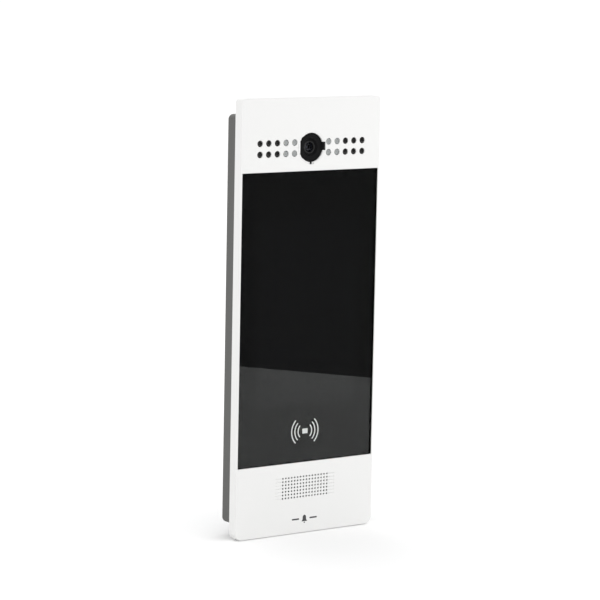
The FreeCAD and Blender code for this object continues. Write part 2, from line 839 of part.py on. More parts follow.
def lamps(document):
    """The lamps beside the camera, the black block that parts them and their board."""
    screws = both_sides("lamp_screw_across", ["camera_height"])

    def board(sketch):
        wide = mirrored("lamp_board_half_width")
        add_rectangle(sketch, *wide, *around("camera_height", "lamp_board_height"))
        add_circle(sketch, "bezel_flange_radius + key_gap", "0", "camera_height")
        for across, up in screws:
            add_circle(sketch, "1.2", across, up)

    def baffle(sketch):
        wide = mirrored("lamp_board_half_width")
        add_rectangle(sketch, *wide, *around("camera_height", "baffle_height"))
        add_circle(sketch, "bezel_flange_radius + key_gap", "0", "camera_height")
        for across, up in lamp_places(ALL_LAMPS):
            add_circle(sketch, "lamp_radius + 0.1", across, up)
        for across, up in screws:
            add_circle(sketch, "1.2", across, up)

    plate(document, "led_board", "lamp_board_rear", "lamp_board_front", board)
    parting = plate(document, "led_light_baffle", "lamp_board_front + 0.2", "panel_face_back", baffle)
    round_edges(parting, "baffle_corners", "2", lambda p: abs(p.x) > 54.9 and abs(p.z - 139.4) > 10)
    for label, columns in (("white_leds", WHITE_LAMPS), ("infrared_leds", INFRARED_LAMPS)):
        stem = rod(document, label + "_stem", "lamp_radius", "0", "lamp_length")
        ball = document.addObject("Part::Sphere", label + "_ball")
        bind(ball, "Radius", "lamp_curve")
        bind(ball, "Placement.Base.y", "lamp_curve - lamp_length")
        lamp = document.addObject("Part::Common", label + "_lamp")
        lamp.Base = stem
        lamp.Tool = ball
        places = [(across, "lamp_board_front", up) for across, up in lamp_places(columns)]
        copies(document, label, lamp, places)
    master = screw_master(document, "led_screw", "1", "5.4", "1.9", "1.2", TIP_FORWARD)
    copies(document, "led_board_screws", master, [(a, "lamp_board_rear - 1.2", up) for a, up in screws])


def presence_sensors(document):
    """A narrow board behind the top of the glass with a light sensor and two range sensors."""

    def board(sketch):
        add_rectangle(sketch, *mirrored("eye_board_half_width"), *around("eye_height", "7"))

    depth = ("eye_rear", "eye_front")
    plate(document, "presence_sensor_board", "eye_board_rear", "eye_rear", board)
    window = block(document, "light_sensor_block", mirrored("2"), depth, around("eye_height", "3"))
    keep("light_sensor", window)
    eyes = []
    for name, across in (("left", "-eye_across"), ("right", "eye_across")):
        eye = block(document, "range_eye_" + name, around(across, "4"), depth, around("eye_height", "4"))
        eyes.append(eye)
    pair = document.addObject("Part::Compound", "range_sensor_pair")
    pair.Links = eyes
    keep("range_sensors", pair)


def card_reader(document):
    """The flat aerial board of the card reader, stuck to the glass under the screen."""

    def board(sketch):
        add_rectangle(sketch, *mirrored("aerial_half_width"), *around("aerial_height", "aerial_tall"))

    plate(document, "rfid_antenna_board", "aerial_rear", "eye_front", board)


# ---- Sound ----------------------------------------------------------------------------------


def sound(document):
    """The loudspeaker behind the grille, and the microphone in its rubber boot."""
    height = "speaker_height"
    wide, tall = mirrored("basket_half_width"), around(height, "basket_height")

    def mesh(sketch):
        across = mirrored("grille_recess_width / 2 - 0.2")
        add_rectangle(sketch, *across, *around(height, "grille_recess_height - 0.4"))

    def gasket(sketch):
        add_rectangle(sketch, *wide, *tall)
        add_rectangle(sketch, *mirrored("basket_half_width - 2"), *around(height, "basket_height - 5"))

    def rim(sketch):
        add_rectangle(sketch, *wide, *tall)
        add_circle(sketch, "cone_hole_radius", "0", height)

    def ring(inner):
        def draw(sketch):
            for radius in ("basket_radius", inner):
                add_circle(sketch, radius, "0", height)

        return draw

    mesh_front = "panel_front - grille_skin"
    mesh_rear = mesh_front + " - mesh_thickness"
    plate(document, "speaker_mesh", mesh_rear, mesh_front, mesh)
    plate(document, "speaker_gasket", "basket_front", "panel_face_back", gasket)
    basket = plate(document, "speaker_basket", "basket_rim_rear", "basket_front", rim)
    round_edges(basket, "speaker_corners", "3", lambda p: abs(p.x) > 23)
    add_layer(basket, "basket_wall", "basket_rear + 1", "basket_rim_rear", ring("cone_hole_radius"))
    add_layer(basket, "basket_floor", "basket_rear", "basket_rear + 1", ring("8"))
    cone = [("0", "23"), ("6", "23"), ("16.6", "25.6"), ("16.6", "26.1"), ("6", "23.5"), ("0", "24.9")]
    turned(document, "speaker_cone", cone, up=height)
    pole = [("7.8", "basket_rear"), ("7.8", "basket_rear + 1.5"), ("0", "basket_rear + 1.5")]
    drum = [("0", "magnet_rear"), ("magnet_radius", "magnet_rear"), ("magnet_radius", "basket_rear")]
    turned(document, "speaker_magnet", drum + pole, up=height)
    microphone(document, mesh_rear)


def microphone(document, mesh_rear):
    """The microphone's capsule, in a rubber boot that presses on the grille's mesh."""
    bore = "microphone_radius + 0.1"
    boot = [(bore, "23"), ("4.6", "23"), ("4.6", mesh_rear), ("1", mesh_rear), ("1", "27"), (bore, "27")]
    turned(document, "microphone_boot", boot, "microphone_across", "speaker_height")
    capsule = [("0", "24.2"), ("microphone_radius", "24.2"), ("microphone_radius", "26.9"), ("0", "26.9")]
    turned(document, "microphone", capsule, "microphone_across", "speaker_height")


# ---- Rear housing ---------------------------------------------------------------------------


def draw_shell(sketch):
    """The outside of the rear housing's walls."""
    add_rectangle(sketch, *mirrored("housing_half_width"), "housing_bottom", "housing_top")


def draw_cavity(sketch):
    """The inside of the rear housing's walls."""
    wide = mirrored("housing_half_width - housing_wall")
    add_rectangle(sketch, *wide, "housing_bottom + housing_wall", "housing_top - housing_wall")


HOOKS = both_sides("hook_across", ["upper_hook", "lower_hook"])


def rear_housing(document):
    """The moulded rear shell: skirt, back wall, side walls, and the flange screwed to the panel."""
    body = new_body(document, "rear_housing")

    def tube(sketch):
        draw_shell(sketch)
        draw_cavity(sketch)

    def flange(sketch):
        add_rectangle(sketch, *mirrored("flange_half_width"), *mirrored("flange_half_height"))
        draw_cavity(sketch)
        for across, up in HOUSING_SCREWS:
            add_circle(sketch, "clearance_radius", across, up)

    def back_wall(sketch):
        draw_shell(sketch)
        add_rectangle(sketch, *mirrored("bay_half_width"), "bay_bottom", "bay_top")
        for across, up in HOOKS:
            wide = around(across, "hook_width + 2 * hook_slot_gap")
            add_rectangle(sketch, *wide, "%s - hook_lift - 2.2" % up, "%s + 0.1" % up)
        add_circle(sketch, "plunger_radius + plunger_fit", "tamper_across", "0")

    def bosses(sketch):
        for across, up in BOARD_SCREWS:
            add_circle(sketch, "board_boss_radius", across, up)
            add_circle(sketch, "tapped_radius", across, up)

    add_layer(body, "housing_skirt", "housing_back", "back_wall_rear", tube)
    add_layer(body, "housing_back_wall", "back_wall_rear", "back_wall_front", back_wall)
    add_layer(body, "housing_walls", "back_wall_front", "flange_rear", tube)
    round_edges(body, "housing_corners", "housing_corner", on_shell_corner)
    soften_back(body)
    add_layer(body, "housing_flange", "flange_rear", "flange_front", flange)
    add_layer(body, "board_bosses", "back_wall_front", "board_rear", bosses)
    cut_security_holes(body)
    return body


def on_shell_corner(point):
    """Whether the point is at one of the shell's four outer corners."""
    return abs(point.x) > 60.9 and (point.z > 165.9 or point.z < -170.4)


def soften_back(body):
    """Rounds the housing's outer rear edge by a millimetre."""
    base = body.Tip
    outer = []
    for number, edge in enumerate(base.Shape.Edges, start=1):
        box = edge.BoundBox
        rear = abs(box.YMax + 0.3) < 1e-6 and abs(box.YMin + 0.3) < 1e-6
        wide = max(abs(box.XMin), abs(box.XMax)) > 60.9 or box.ZMax > 165.9 or box.ZMin < -170.4
        if rear and wide:
            outer.append("Edge%d" % number)
    fillet = body.newObject("PartDesign::Fillet", "rear_edge")
    fillet.Base = (base, outer)
    fillet.Radius = 1.2


def cut_security_holes(body):
    """Two holes up through the bottom wall for the screws that lock the unit to its bracket."""
    body.Document.recompute()
    before = body.Shape.Volume
    sketch = new_sketch(body, "security_sketch", "XY_Plane", "housing_bottom - 1")
    for side in ("-(security_across)", "security_across"):
        add_circle(sketch, "security_hole_radius", side, "-security_depth")
    pocket = body.newObject("PartDesign::Pocket", "security_holes")
    pocket.Profile = sketch
    pocket.Reversed = True
    bind(pocket, "Length", "housing_wall + 2")
    body.Document.recompute()
    if not body.Shape.Volume < before:
        raise RuntimeError("the security holes cut nothing")


def seal_and_liner(document):
    """The seal between the two shells, and the liner of the wiring bay."""

    def seal(sketch):
        for inset in ("seal_inset", "(-seal_overhang)"):
            wide = mirrored("housing_half_width - %s" % inset)
            add_rectangle(sketch, *wide, "housing_bottom + %s" % inset, "housing_top - %s" % inset)

    def bay_outline(sketch, grow):
        wide = mirrored("bay_half_width + %s" % grow)
        add_rectangle(sketch, *wide, "bay_bottom - %s" % grow, "bay_top + %s" % grow)

    def lip(sketch):
        bay_outline(sketch, "liner_lip")
        bay_outline(sketch, "(-liner_gap - liner_wall)")

    def wall(sketch):
        bay_outline(sketch, "(-liner_gap)")
        bay_outline(sketch, "(-liner_gap - liner_wall)")

    def floor(sketch):
        bay_outline(sketch, "(-liner_gap)")
        tall = ("sockets_bottom - socket_gap", "sockets_top + 2 * socket_gap")
        add_rectangle(sketch, "jack_left - socket_gap", "jack_right + socket_gap", *tall)
        end = "strip_start + 2 * strip_width + strip_gap + socket_gap"
        add_rectangle(sketch, "strip_start - socket_gap", end, *tall)
        add_circle(sketch, "reset_neck + 0.05", "reset_across", "reset_height")

    plate(document, "perimeter_seal", "flange_front", "panel_step", seal)
    body = new_body(document, "bay_liner")
    add_layer(body, "liner_flange", "liner_rear", "liner_lip_front", lip)
    add_layer(body, "liner_walls", "liner_lip_front", "liner_floor_front", wall)
    add_layer(body, "liner_floor", "liner_floor_rear", "liner_floor_front", floor)


# ---- Circuit board --------------------------------------------------------------------------


def circuit_board(document):
    """The main board with the parts that stand on its front and its rear."""

    def board(sketch):
        add_rectangle(sketch, *mirrored("board_half_width"), "board_bottom", "board_top")
        for across, up in BOARD_SCREWS:
            add_circle(sketch, "clearance_radius", across, up)

    front = "board_rear + board_thickness"
    on_front = (front, "chip_front")
    plate(document, "main_board", "board_rear", front, board)
    keep("processor_shield", shield(document))
    cell = [("0", front), ("10", front), ("10", "shield_front - 1")]
    cell += [("9.4", "shield_front"), ("0", "shield_front")]
    turned(document, "backup_battery", cell, "30", "-70")
    keep("memory_module", block(document, "memory_block", ("12", "42"), on_front, ("-30", "-10")))
    keep("flex_connector", block(document, "flex_socket", mirrored("11"), on_front, ("-95", "-86")))
    coil = block(document, "relay_block", ("-34", "-19"), ("relay_rear", "board_rear"), ("24", "44"))
    keep("relay", coil)
    can = rod(document, "capacitor_can", "capacitor_radius", "0", "capacitor_height")
    rear = "board_rear - capacitor_height"
    places = [(across, rear, up) for across, up in (("0", "30"), ("8", "30"), ("16", "30"), ("0", "40"))]
    copies(document, "power_capacitors", can, places)
    ethernet_jack(document)
    terminal_blocks(document)
    master = screw_master(document, "board_screw", "1.2", "5", "2.3", "1.4", TIP_REARWARD)
    copies(document, "board_screws", master, [(a, front + " + 1.4", up) for a, up in BOARD_SCREWS])


def shield(document):
    """The pressed can over the processor, open towards the board."""

    def can(name, inset, depth):
        """A block as large as the can, less an inset on every side."""
        limits = []
        for start in ("shield_left", "shield_bottom"):
            limits.append(("%s + %s" % (start, inset), "%s + shield_size - %s" % (start, inset)))
        return block(document, name, limits[0], depth, limits[1])

    front = "board_rear + board_thickness"
    outside = can("shield_outside", "0", (front, "shield_front"))
    inside = can("shield_inside", "shield_sheet", (front + " - 0.1", "shield_front - shield_sheet"))
    return without(document, "shield_can", outside, [inside])


def ethernet_jack(document):
    """The network socket: its mouth and its latch's slot face down into the wiring bay."""
    middle = "(jack_left + jack_right) / 2"
    tall = ("sockets_bottom", "sockets_top")
    shell = block(document, "jack_shell", ("jack_left", "jack_right"), ("jack_rear", "board_rear"), tall)
    below = "sockets_bottom - 0.1"
    tall = (below, "sockets_top - 3")
    mouth = block(document, "jack_mouth", around(middle, "11.8"), ("6.2", "13.4"), tall)
    tall = (below, "sockets_top - 4.5")
    latch = block(document, "jack_latch", around(middle, "6"), ("5.2", "6.3"), tall)
    keep("ethernet_jack", without(document, "jack", shell, [mouth, latch]))


def terminal_blocks(document):
    """Two pluggable terminal strips, each with a row of square wire entries that face down."""
    strips = []
    for side in range(2):
        start = "strip_start + %d * (strip_width + strip_gap)" % side
        limits = (start, start + " + strip_width")
        tall = ("sockets_bottom", "sockets_top - 0.5")
        body = block(document, "strip_%d" % side, limits, ("strip_rear", "board_rear"), tall)
        holes = []
        for n in range(5):
            left = "%s + entry_margin + %d * entry_pitch" % (start, n)
            name = "%d_%d" % (side, n)
            across = (left, left + " + entry_size")
            low = ("sockets_bottom - 0.1", "sockets_bottom + 7")
            holes.append(block(document, "entry_" + name, across, ("8.4", "11.6"), low))
            middle = left + " + entry_size / 2"
            height = "sockets_bottom + 11"
            holes.append(rod(document, "driver_" + name, "driver_radius", "6.5", "9", middle, height))
        strips.append(without(document, "terminal_strip_%d" % side, body, holes))
    pair = document.addObject("Part::Compound", "terminal_pair")
    pair.Links = strips
    keep("terminal_blocks", pair)


# ---- Tamper plunger and reset button --------------------------------------------------------


def tamper_alarm(document):
    """The plunger that rests on the wall bracket, its spring and its switch."""
    radius, collar = "plunger_radius", "plunger_radius + 1.5"
    outline = [("0", "plunger_tip"), (radius + " - 0.6", "plunger_tip"), (radius, "plunger_tip + 0.6")]
    outline += [(radius, "plunger_collar_rear"), (collar, "plunger_collar_rear")]
    outline += [(collar, "plunger_collar_front"), ("1", "plunger_collar_front")]
    outline += [("1", "plunger_end"), ("0", "plunger_end")]
    turned(document, "tamper_plunger", outline, "tamper_across", "0")
    across, up = around("tamper_across", "switch_size"), mirrored("switch_size / 2")
    body = block(document, "tamper_switch_body", across, ("switch_rear", "board_rear"), up)
    well = rod(document, "tamper_switch_well", "1.4", "switch_rear - 0.1", "15.7", "tamper_across", "0")
    keep("tamper_switch", without(document, "tamper_switch_cut", body, [well]))
    helix = document.addObject("Part::Helix", "spring_path")
    helix.Pitch = 0.8
    bind(helix, "Height", "spring_height")
    bind(helix, "Radius", "spring_radius")
    wire = document.addObject("Part::Circle", "spring_wire")
    bind(wire, "Radius", "wire_radius")
    wire.Placement.Rotation = TIP_FORWARD
    bind(wire, "Placement.Base.x", "spring_radius")
    spring = document.addObject("Part::Sweep", "spring_sweep")
    spring.Sections = [wire]
    spring.Spine = (helix, ["Edge1"])
    spring.Solid = True
    spring.Frenet = True
    spring.Placement.Rotation = TIP_FORWARD
    bind(spring, "Placement.Base.x", "tamper_across")
    bind(spring, "Placement.Base.y", "-spring_rear")
    keep("tamper_spring", spring)


def reset(document):
    """The small button in the wiring bay and the switch that it presses."""
    wide, neck, shoulder = "reset_radius", "reset_neck", "reset_shoulder"
    outline = [("0", "reset_rear"), (wide + " - 0.4", "reset_rear"), (wide, "reset_rear + 0.4")]
    outline += [(wide, shoulder), (neck, shoulder), (neck, shoulder + " + 1.7")]
    outline += [("0.7", shoulder + " + 1.7"), ("0.7", shoulder + " + 2.5"), ("0", shoulder + " + 2.5")]
    turned(document, "reset_button", outline, "reset_across", "reset_height")
    across, up = around("reset_across", "reset_switch_size"), around("reset_height", "reset_switch_size")
    body = block(document, "reset_switch_body", across, ("reset_switch_rear", "board_rear"), up)
    well = rod(document, "reset_switch_well", "0.9", "14.7", "15.8", "reset_across", "reset_height")
    keep("reset_switch", without(document, "reset_switch_cut", body, [well]))


# ---- Wall bracket and outer screws ----------------------------------------------------------


def on_rib_end(point):
    """Whether the point is at a corner of one of the bracket's two ribs."""
    on_side = abs(abs(abs(point.x) - 18) - 4) < 0.01
    return on_side and (abs(point.z + 22) < 0.01 or abs(point.z - 118) < 0.01)


def wall_bracket(document):
    """The pressed steel plate on the wall, with four hooks, two screw tabs, ribs and edges."""
    body = new_body(document, "wall_bracket")

    def sheet(sketch):
        add_rectangle(sketch, *mirrored("plate_half_width"), "plate_bottom", "plate_top")
        opening = mirrored("cable_opening_half_width")
        add_rectangle(sketch, *opening, "cable_opening_bottom", "cable_opening_top")
        for across, up in both_sides("wall_hole_across / 2", ["wall_hole_up / 2", "-wall_hole_up / 2"]):
            add_circle(sketch, "wall_hole_radius", across, up)
        for across, up in both_sides("box_hole_across / 2", ["40"]):
            add_circle(sketch, "wall_hole_radius", across, up)

    def edges(sketch):
        near, far = "plate_half_width - plate_thickness", "plate_half_width"
        for across in ((near, far), ("-(%s)" % far, "-(%s)" % near)):
            add_rectangle(sketch, *across, "plate_bottom + edge_end_gap", "plate_top - edge_end_gap")

    def ribs(sketch):
        for side in ("-rib_across", "rib_across"):
            add_rectangle(sketch, *around(side, "rib_width"), "rib_bottom", "rib_top")
        add_circle(sketch, "pad_radius", "tamper_across", "0")

    def hooks(top):
        def draw(sketch):
            for across, up in HOOKS:
                wide = around(across, "hook_width")
                add_rectangle(sketch, *wide, "%s - plate_thickness" % up, "%s + %s" % (up, top))

        return draw

    def tabs(sketch):
        for side in ("-security_across", "security_across"):
            tall = ("plate_bottom", "plate_bottom + plate_thickness")
            add_rectangle(sketch, *around(side, "tab_width"), *tall)

    add_layer(body, "bracket_sheet", "0", "plate_thickness", sheet)
    round_edges(body, "sheet_corners", "4", lambda p: abs(p.x) > 53.9)
    cut_layer(body, "rib_grooves", "0", "rib_height", ribs)
    add_layer(body, "rib_crests", "plate_thickness", "plate_thickness + rib_height", ribs)
    round_edges(body, "rib_ends", "rib_width / 2 - 0.1", on_rib_end)
    add_layer(body, "bracket_edges", "plate_thickness", "edge_front", edges)
    add_layer(body, "hook_stems", "plate_thickness", "hook_lip_rear + 0.1", hooks("0"))
    add_layer(body, "hook_lips", "hook_lip_rear", "hook_front", hooks("hook_lip_height"))
    add_layer(body, "screw_tabs", "plate_thickness", "tab_front", tabs)
    body.Document.recompute()
    before = body.Shape.Volume
    sketch = new_sketch(body, "tab_hole_sketch", "XY_Plane", "plate_bottom - 1")
    for side in ("-(security_across)", "security_across"):
        add_circle(sketch, "tab_hole_radius", side, "-security_depth")
    pocket = body.newObject("PartDesign::Pocket", "tab_holes")
    pocket.Profile = sketch
    pocket.Reversed = True
    bind(pocket, "Length", "plate_thickness + 2")
    body.Document.recompute()
    if not body.Shape.Volume < before:
        raise RuntimeError("the tab holes cut nothing")


def outer_screws(document):
    """The screws that close the housing, hold the display and lock the unit to its bracket."""
    closing = screw_master(document, "housing_screw", "1.2", "4.8", "2.2", "1.6", TIP_FORWARD)
    places = [(across, "flange_rear - 1.6", up) for across, up in HOUSING_SCREWS]
    copies(document, "housing_screws", closing, places)
    holding = screw_master(document, "display_screw", "1.2", "4.4", "2.2", "1.4", TIP_FORWARD)
    places = [(across, "bracket_front - 2.4", up) for across, up in BRACKET_SCREWS]
    copies(document, "display_screws", holding, places)
    locking = screw_master(document, "security_screw", "1.5", "17", "2.7", "1.8", TIP_UP)
    sides = ("-security_across", "security_across")
    places = [(side, "security_depth", "housing_bottom - 1.8") for side in sides]
    copies(document, "security_screws", locking, places)


def check(document):
    """Stops with a message if any object failed, or a sub-part is missing or broken."""
    failed = [o.Name for o in document.Objects if {"Invalid", "Error"} & set(o.State)]
    bad = [label for label, o in PIECES.items() if o.Shape.isNull() or not o.Shape.isValid()]
    empty = [label for label, o in PIECES.items() if not o.Shape.Solids]
    if failed or bad or empty:
        raise RuntimeError("failed %s, broken %s, empty %s" % (failed, bad, empty))


def main():
    """Builds every sub-part, checks them and writes their files."""
    document = make_document()
    front_panel(document)
    glass_and_touch(document)
    display(document)
    camera(document)
    lamps(document)
    presence_sensors(document)
    card_reader(document)
    sound(document)
    rear_housing(document)
    seal_and_liner(document)
    circuit_board(document)
    tamper_alarm(document)
    reset(document)
    wall_bracket(document)
    outer_screws(document)
    document.recompute()
    check(document)
    os.makedirs("parts", exist_ok=True)
    for label, thing in PIECES.items():
        thing.Shape.exportStep("parts/%s.step" % label)
        box = thing.Shape.BoundBox
        size = (label, len(thing.Shape.Solids), box.XLength, box.YLength, box.ZLength)
        print("%-24s %2d solids, %.1f x %.1f x %.1f mm" % size)


main()
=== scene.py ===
"""The looks of a wall-mounted video door station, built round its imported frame.

Every length is in metres and every place comes from the frame: +Z up, +X to the right of a person
who faces the unit, and the front looks along -Y. Sizes in the classes are in millimetres.
"""

import logging
import math
import random
from dataclasses import dataclass
from enum import Enum

import bmesh
import bpy
from mathutils import Matrix, Vector


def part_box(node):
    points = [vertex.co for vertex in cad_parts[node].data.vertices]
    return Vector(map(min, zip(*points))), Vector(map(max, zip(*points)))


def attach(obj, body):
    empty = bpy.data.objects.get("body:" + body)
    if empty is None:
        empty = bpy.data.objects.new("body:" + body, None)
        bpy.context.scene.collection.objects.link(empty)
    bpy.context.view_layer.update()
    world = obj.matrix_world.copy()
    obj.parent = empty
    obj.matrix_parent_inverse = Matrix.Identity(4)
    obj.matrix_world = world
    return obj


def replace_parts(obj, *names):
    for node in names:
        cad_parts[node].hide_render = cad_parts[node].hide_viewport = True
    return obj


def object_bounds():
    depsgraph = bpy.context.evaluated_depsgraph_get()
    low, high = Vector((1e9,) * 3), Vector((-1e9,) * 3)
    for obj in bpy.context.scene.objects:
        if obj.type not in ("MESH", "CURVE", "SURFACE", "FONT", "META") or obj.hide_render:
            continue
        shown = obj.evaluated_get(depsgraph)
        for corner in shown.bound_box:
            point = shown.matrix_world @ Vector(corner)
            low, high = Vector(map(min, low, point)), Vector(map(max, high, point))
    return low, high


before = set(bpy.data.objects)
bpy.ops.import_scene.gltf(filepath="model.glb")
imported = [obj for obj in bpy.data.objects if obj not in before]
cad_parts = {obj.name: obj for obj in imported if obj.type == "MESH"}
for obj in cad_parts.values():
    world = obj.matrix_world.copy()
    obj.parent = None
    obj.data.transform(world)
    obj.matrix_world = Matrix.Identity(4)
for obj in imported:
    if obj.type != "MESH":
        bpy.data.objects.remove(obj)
CAD_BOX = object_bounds()

MM = 0.001
LOG = logging.getLogger("door_station")
Point = tuple[float, float, float]
Loop = list[Point]
Profile = list[tuple[float, float]]
Ring = list[bmesh.types.BMVert]
Tree = bpy.types.NodeTree
Shader = bpy.types.Node
Socket = bpy.types.NodeSocket

# Points closer than this, in metres, are one point.
WELD_REACH = 1e-6


class Body(str, Enum):
    """The bodies of the frame that pieces ride on."""

    UNIT = "door_unit"
    BRACKET = "wall_bracket"


class Slot(str, Enum):
    """The record's material slots; each piece is passed one, which nothing uses."""

    GLASS = "black_glass"
    BLACK_PLASTIC = "black_plastic"
    LENS = "lens_glass"
    TINNED_CAN = "tinned_can"
    NICKEL = "jack_nickel"
    SCREW = "screw_steel"
    BOARD = "circuit_board"


# ---- Colour and nodes -----------------------------------------------------------------------


def linear(colour: str) -> tuple[float, float, float, float]:
    """Turns an sRGB hex colour into linear light.

    Args:
        colour: six hex digits after a hash.

    Returns:
        Red, green, blue and an alpha of 1.
    """
    parts = [int(colour[i : i + 2], 16) / 255 for i in (1, 3, 5)]
    light = [c / 12.92 if c <= 0.04045 else ((c + 0.055) / 1.055) ** 2.4 for c in parts]
    return (light[0], light[1], light[2], 1.0)


def add_node(tree: Tree, kind: str, inputs: dict | None = None, **settings: object) -> bpy.types.Node:
    """Adds one node with its settings and its links.

    Args:
        tree: the node tree of a material or the world.
        kind: the node's type name.
        inputs: socket name or number to a value, or to the output socket that feeds it.
        settings: the node's own properties.

    Returns:
        The new node.
    """
    node = tree.nodes.new(kind)
    for key, value in settings.items():
        setattr(node, key, value)
    for key, value in (inputs or {}).items():
        if isinstance(value, Socket):
            tree.links.new(value, node.inputs[key])
        else:
            node.inputs[key].default_value = value
    return node


def per_metre(size_mm: float) -> float:
    """The texture scale whose features are that many millimetres across."""
    return 1 / (size_mm * MM)


def wave_scale(width_mm: float) -> float:
    """The wave texture's scale at which a crest, or a trough, is about that many millimetres wide."""
    return per_metre(width_mm) / (2 * math.pi)


# ---- Finishes -------------------------------------------------------------------------------


MADE: dict[str, bpy.types.Material] = {}


@dataclass(frozen=True)
class Finish:
    """A moulded, painted or printed surface: a fine grain, and slow changes of tone and gloss.

    The grain is what keeps a wide flat face from looking like a flat colour: it breaks up the
    highlights, while the slow mottling gives the small unevenness of a real coat or moulding.
    """

    name: str
    colour: str
    roughness: float = 0.5
    metallic: float = 0.0
    ior: float = 1.5
    grain_mm: float = 0.4
    grain_depth_mm: float = 0.004
    mottle_mm: float = 18.0
    mottle: float = 0.03
    gloss_spread: float = 0.06

    def material(self) -> bpy.types.Material:
        """Makes the finish's material once, and shares it after that.

        Returns:
            The material.
        """
        if self.name in MADE:
            return MADE[self.name]
        made = MADE[self.name] = bpy.data.materials.new(self.name)
        made.use_nodes = True
        tree = made.node_tree
        tree.nodes.clear()
        place = add_node(tree, "ShaderNodeTexCoord").outputs["Object"]
        shader = add_node(tree, "ShaderNodeBsdfPrincipled", {"Metallic": self.metallic})
        if not self.metallic:
            shader.inputs["IOR"].default_value = self.ior
        self.dress(tree, shader, place)
        add_node(tree, "ShaderNodeOutputMaterial", {"Surface": shader.outputs[0]})
        made.diffuse_color = linear(self.colour)
        return made

    def dress(self, tree: Tree, shader: Shader, place: Socket) -> None:
        """Feeds the shader its colour, gloss and bump.

        Args:
            tree: the material's node tree.
            shader: the principled shader.
            place: the object coordinates, in metres.
        """
        self.tone(tree, shader, self.pattern(tree, place, self.mottle_mm))
        self.bump(tree, shader, self.pattern(tree, place, self.grain_mm), self.grain_depth_mm)

    def pattern(self, tree: Tree, place: Socket, size_mm: float) -> Socket:
        """A soft noise from 0 to 1 with features of that size."""
        noise = {"Vector": place, "Scale": per_metre(size_mm), "Detail": 3.0, "Roughness": 0.55}
        return add_node(tree, "ShaderNodeTexNoise", noise).outputs["Fac"]

    def tone(self, tree: Tree, shader: Shader, factor: Socket) -> None:
        """Moves the colour and the roughness a little round their typical values.

        Args:
            tree: the material's node tree.
            shader: the principled shader.
            factor: the pattern that moves them, from 0 to 1.
        """
        self.shade(tree, shader, factor)
        if not self.gloss_spread:
            shader.inputs["Roughness"].default_value = self.roughness
            return
        low = max(0.0, self.roughness - self.gloss_spread)
        limits = {"Value": factor, "To Min": low, "To Max": self.roughness + self.gloss_spread}
        gloss = add_node(tree, "ShaderNodeMapRange", limits)
        tree.links.new(gloss.outputs[0], shader.inputs["Roughness"])

    def shade(self, tree: Tree, shader: Shader, factor: Socket) -> None:
        """Moves the colour a little round its typical value.

        Args:
            tree: the material's node tree.
            shader: the principled shader.
            factor: the pattern that moves it, from 0 to 1.
        """
        base = linear(self.colour)
        dark = tuple(c * (1 - self.mottle) for c in base[:3]) + (1.0,)
        light = tuple(min(1.0, c * (1 + self.mottle)) for c in base[:3]) + (1.0,)
        mix = add_node(tree, "ShaderNodeMix", {0: factor, 6: dark, 7: light}, data_type="RGBA")
        tree.links.new(mix.outputs[2], shader.inputs["Base Color"])

    def bump(self, tree: Tree, shader: Shader, height: Socket, depth_mm: float) -> None:
        """Raises the surface by a height pattern.

        Args:
            tree: the material's node tree.
            shader: the principled shader.
            height: the pattern, from 0 to 1.
            depth_mm: how deep the pattern is; 0 leaves the face smooth.
        """
        if not depth_mm:
            return
        pits = {"Height": height, "Distance": depth_mm * MM, "Strength": 1.0}
        relief = add_node(tree, "ShaderNodeBump", pits)
        tree.links.new(relief.outputs[0], shader.inputs["Normal"])


@dataclass(frozen=True)
class RolledSheet(Finish):
    """Metal sheet whose rolling or brushing left fine parallel lines, which stretch the highlights."""

    line_mm: float = 0.25
    line_length_mm: float = 14.0

    def dress(self, tree: Tree, shader: Shader, place: Socket) -> None:
        """Lines along Z, over slow clouds of tone.

        Args:
            tree: the material's node tree.
            shader: the principled shader.
            place: the object coordinates, in metres.
        """
        squeeze = (1.0, 1.0, self.line_mm / self.line_length_mm)
        lines_at = add_node(tree, "ShaderNodeMapping", {"Vector": place, "Scale": squeeze}).outputs[0]
        lines = self.pattern(tree, lines_at, self.line_mm)
        clouds = self.pattern(tree, place, self.mottle_mm)
        both = add_node(tree, "ShaderNodeMath", {0: lines, 1: clouds}, operation="MULTIPLY")
        twice = {0: both.outputs[0], 1: 2.0}
        doubled = add_node(tree, "ShaderNodeMath", twice, operation="MULTIPLY", use_clamp=True)
        self.tone(tree, shader, doubled.outputs[0])
        self.bump(tree, shader, lines, self.grain_depth_mm)


@dataclass(frozen=True)
class ZincSpangle(Finish):
    """Hot-dip zinc on steel: flat crystals a few millimetres wide, each with its own shade and gloss."""

    spangle_mm: float = 5.0
    streak_mm: float = 2.0
    grain_share: float = 0.35

    def dress(self, tree: Tree, shader: Shader, place: Socket) -> None:
        """Crystals as cells of one tone each, and the fine grain of the coat on top.

        Args:
            tree: the material's node tree.
            shader: the principled shader.
            place: the object coordinates, in metres.
        """
        cell = {"Vector": place, "Scale": per_metre(self.spangle_mm), "Randomness": 1.0}
        crystals = add_node(tree, "ShaderNodeTexVoronoi", cell, feature="F1")
        one_tone = add_node(tree, "ShaderNodeSeparateColor", {0: crystals.outputs["Color"]}).outputs[0]
        fine = self.pattern(tree, place, self.streak_mm)
        shares = {0: self.grain_share, 2: one_tone, 3: fine}
        both = add_node(tree, "ShaderNodeMix", shares, data_type="FLOAT")
        self.tone(tree, shader, both.outputs[0])
        self.bump(tree, shader, self.pattern(tree, place, self.grain_mm), self.grain_depth_mm)


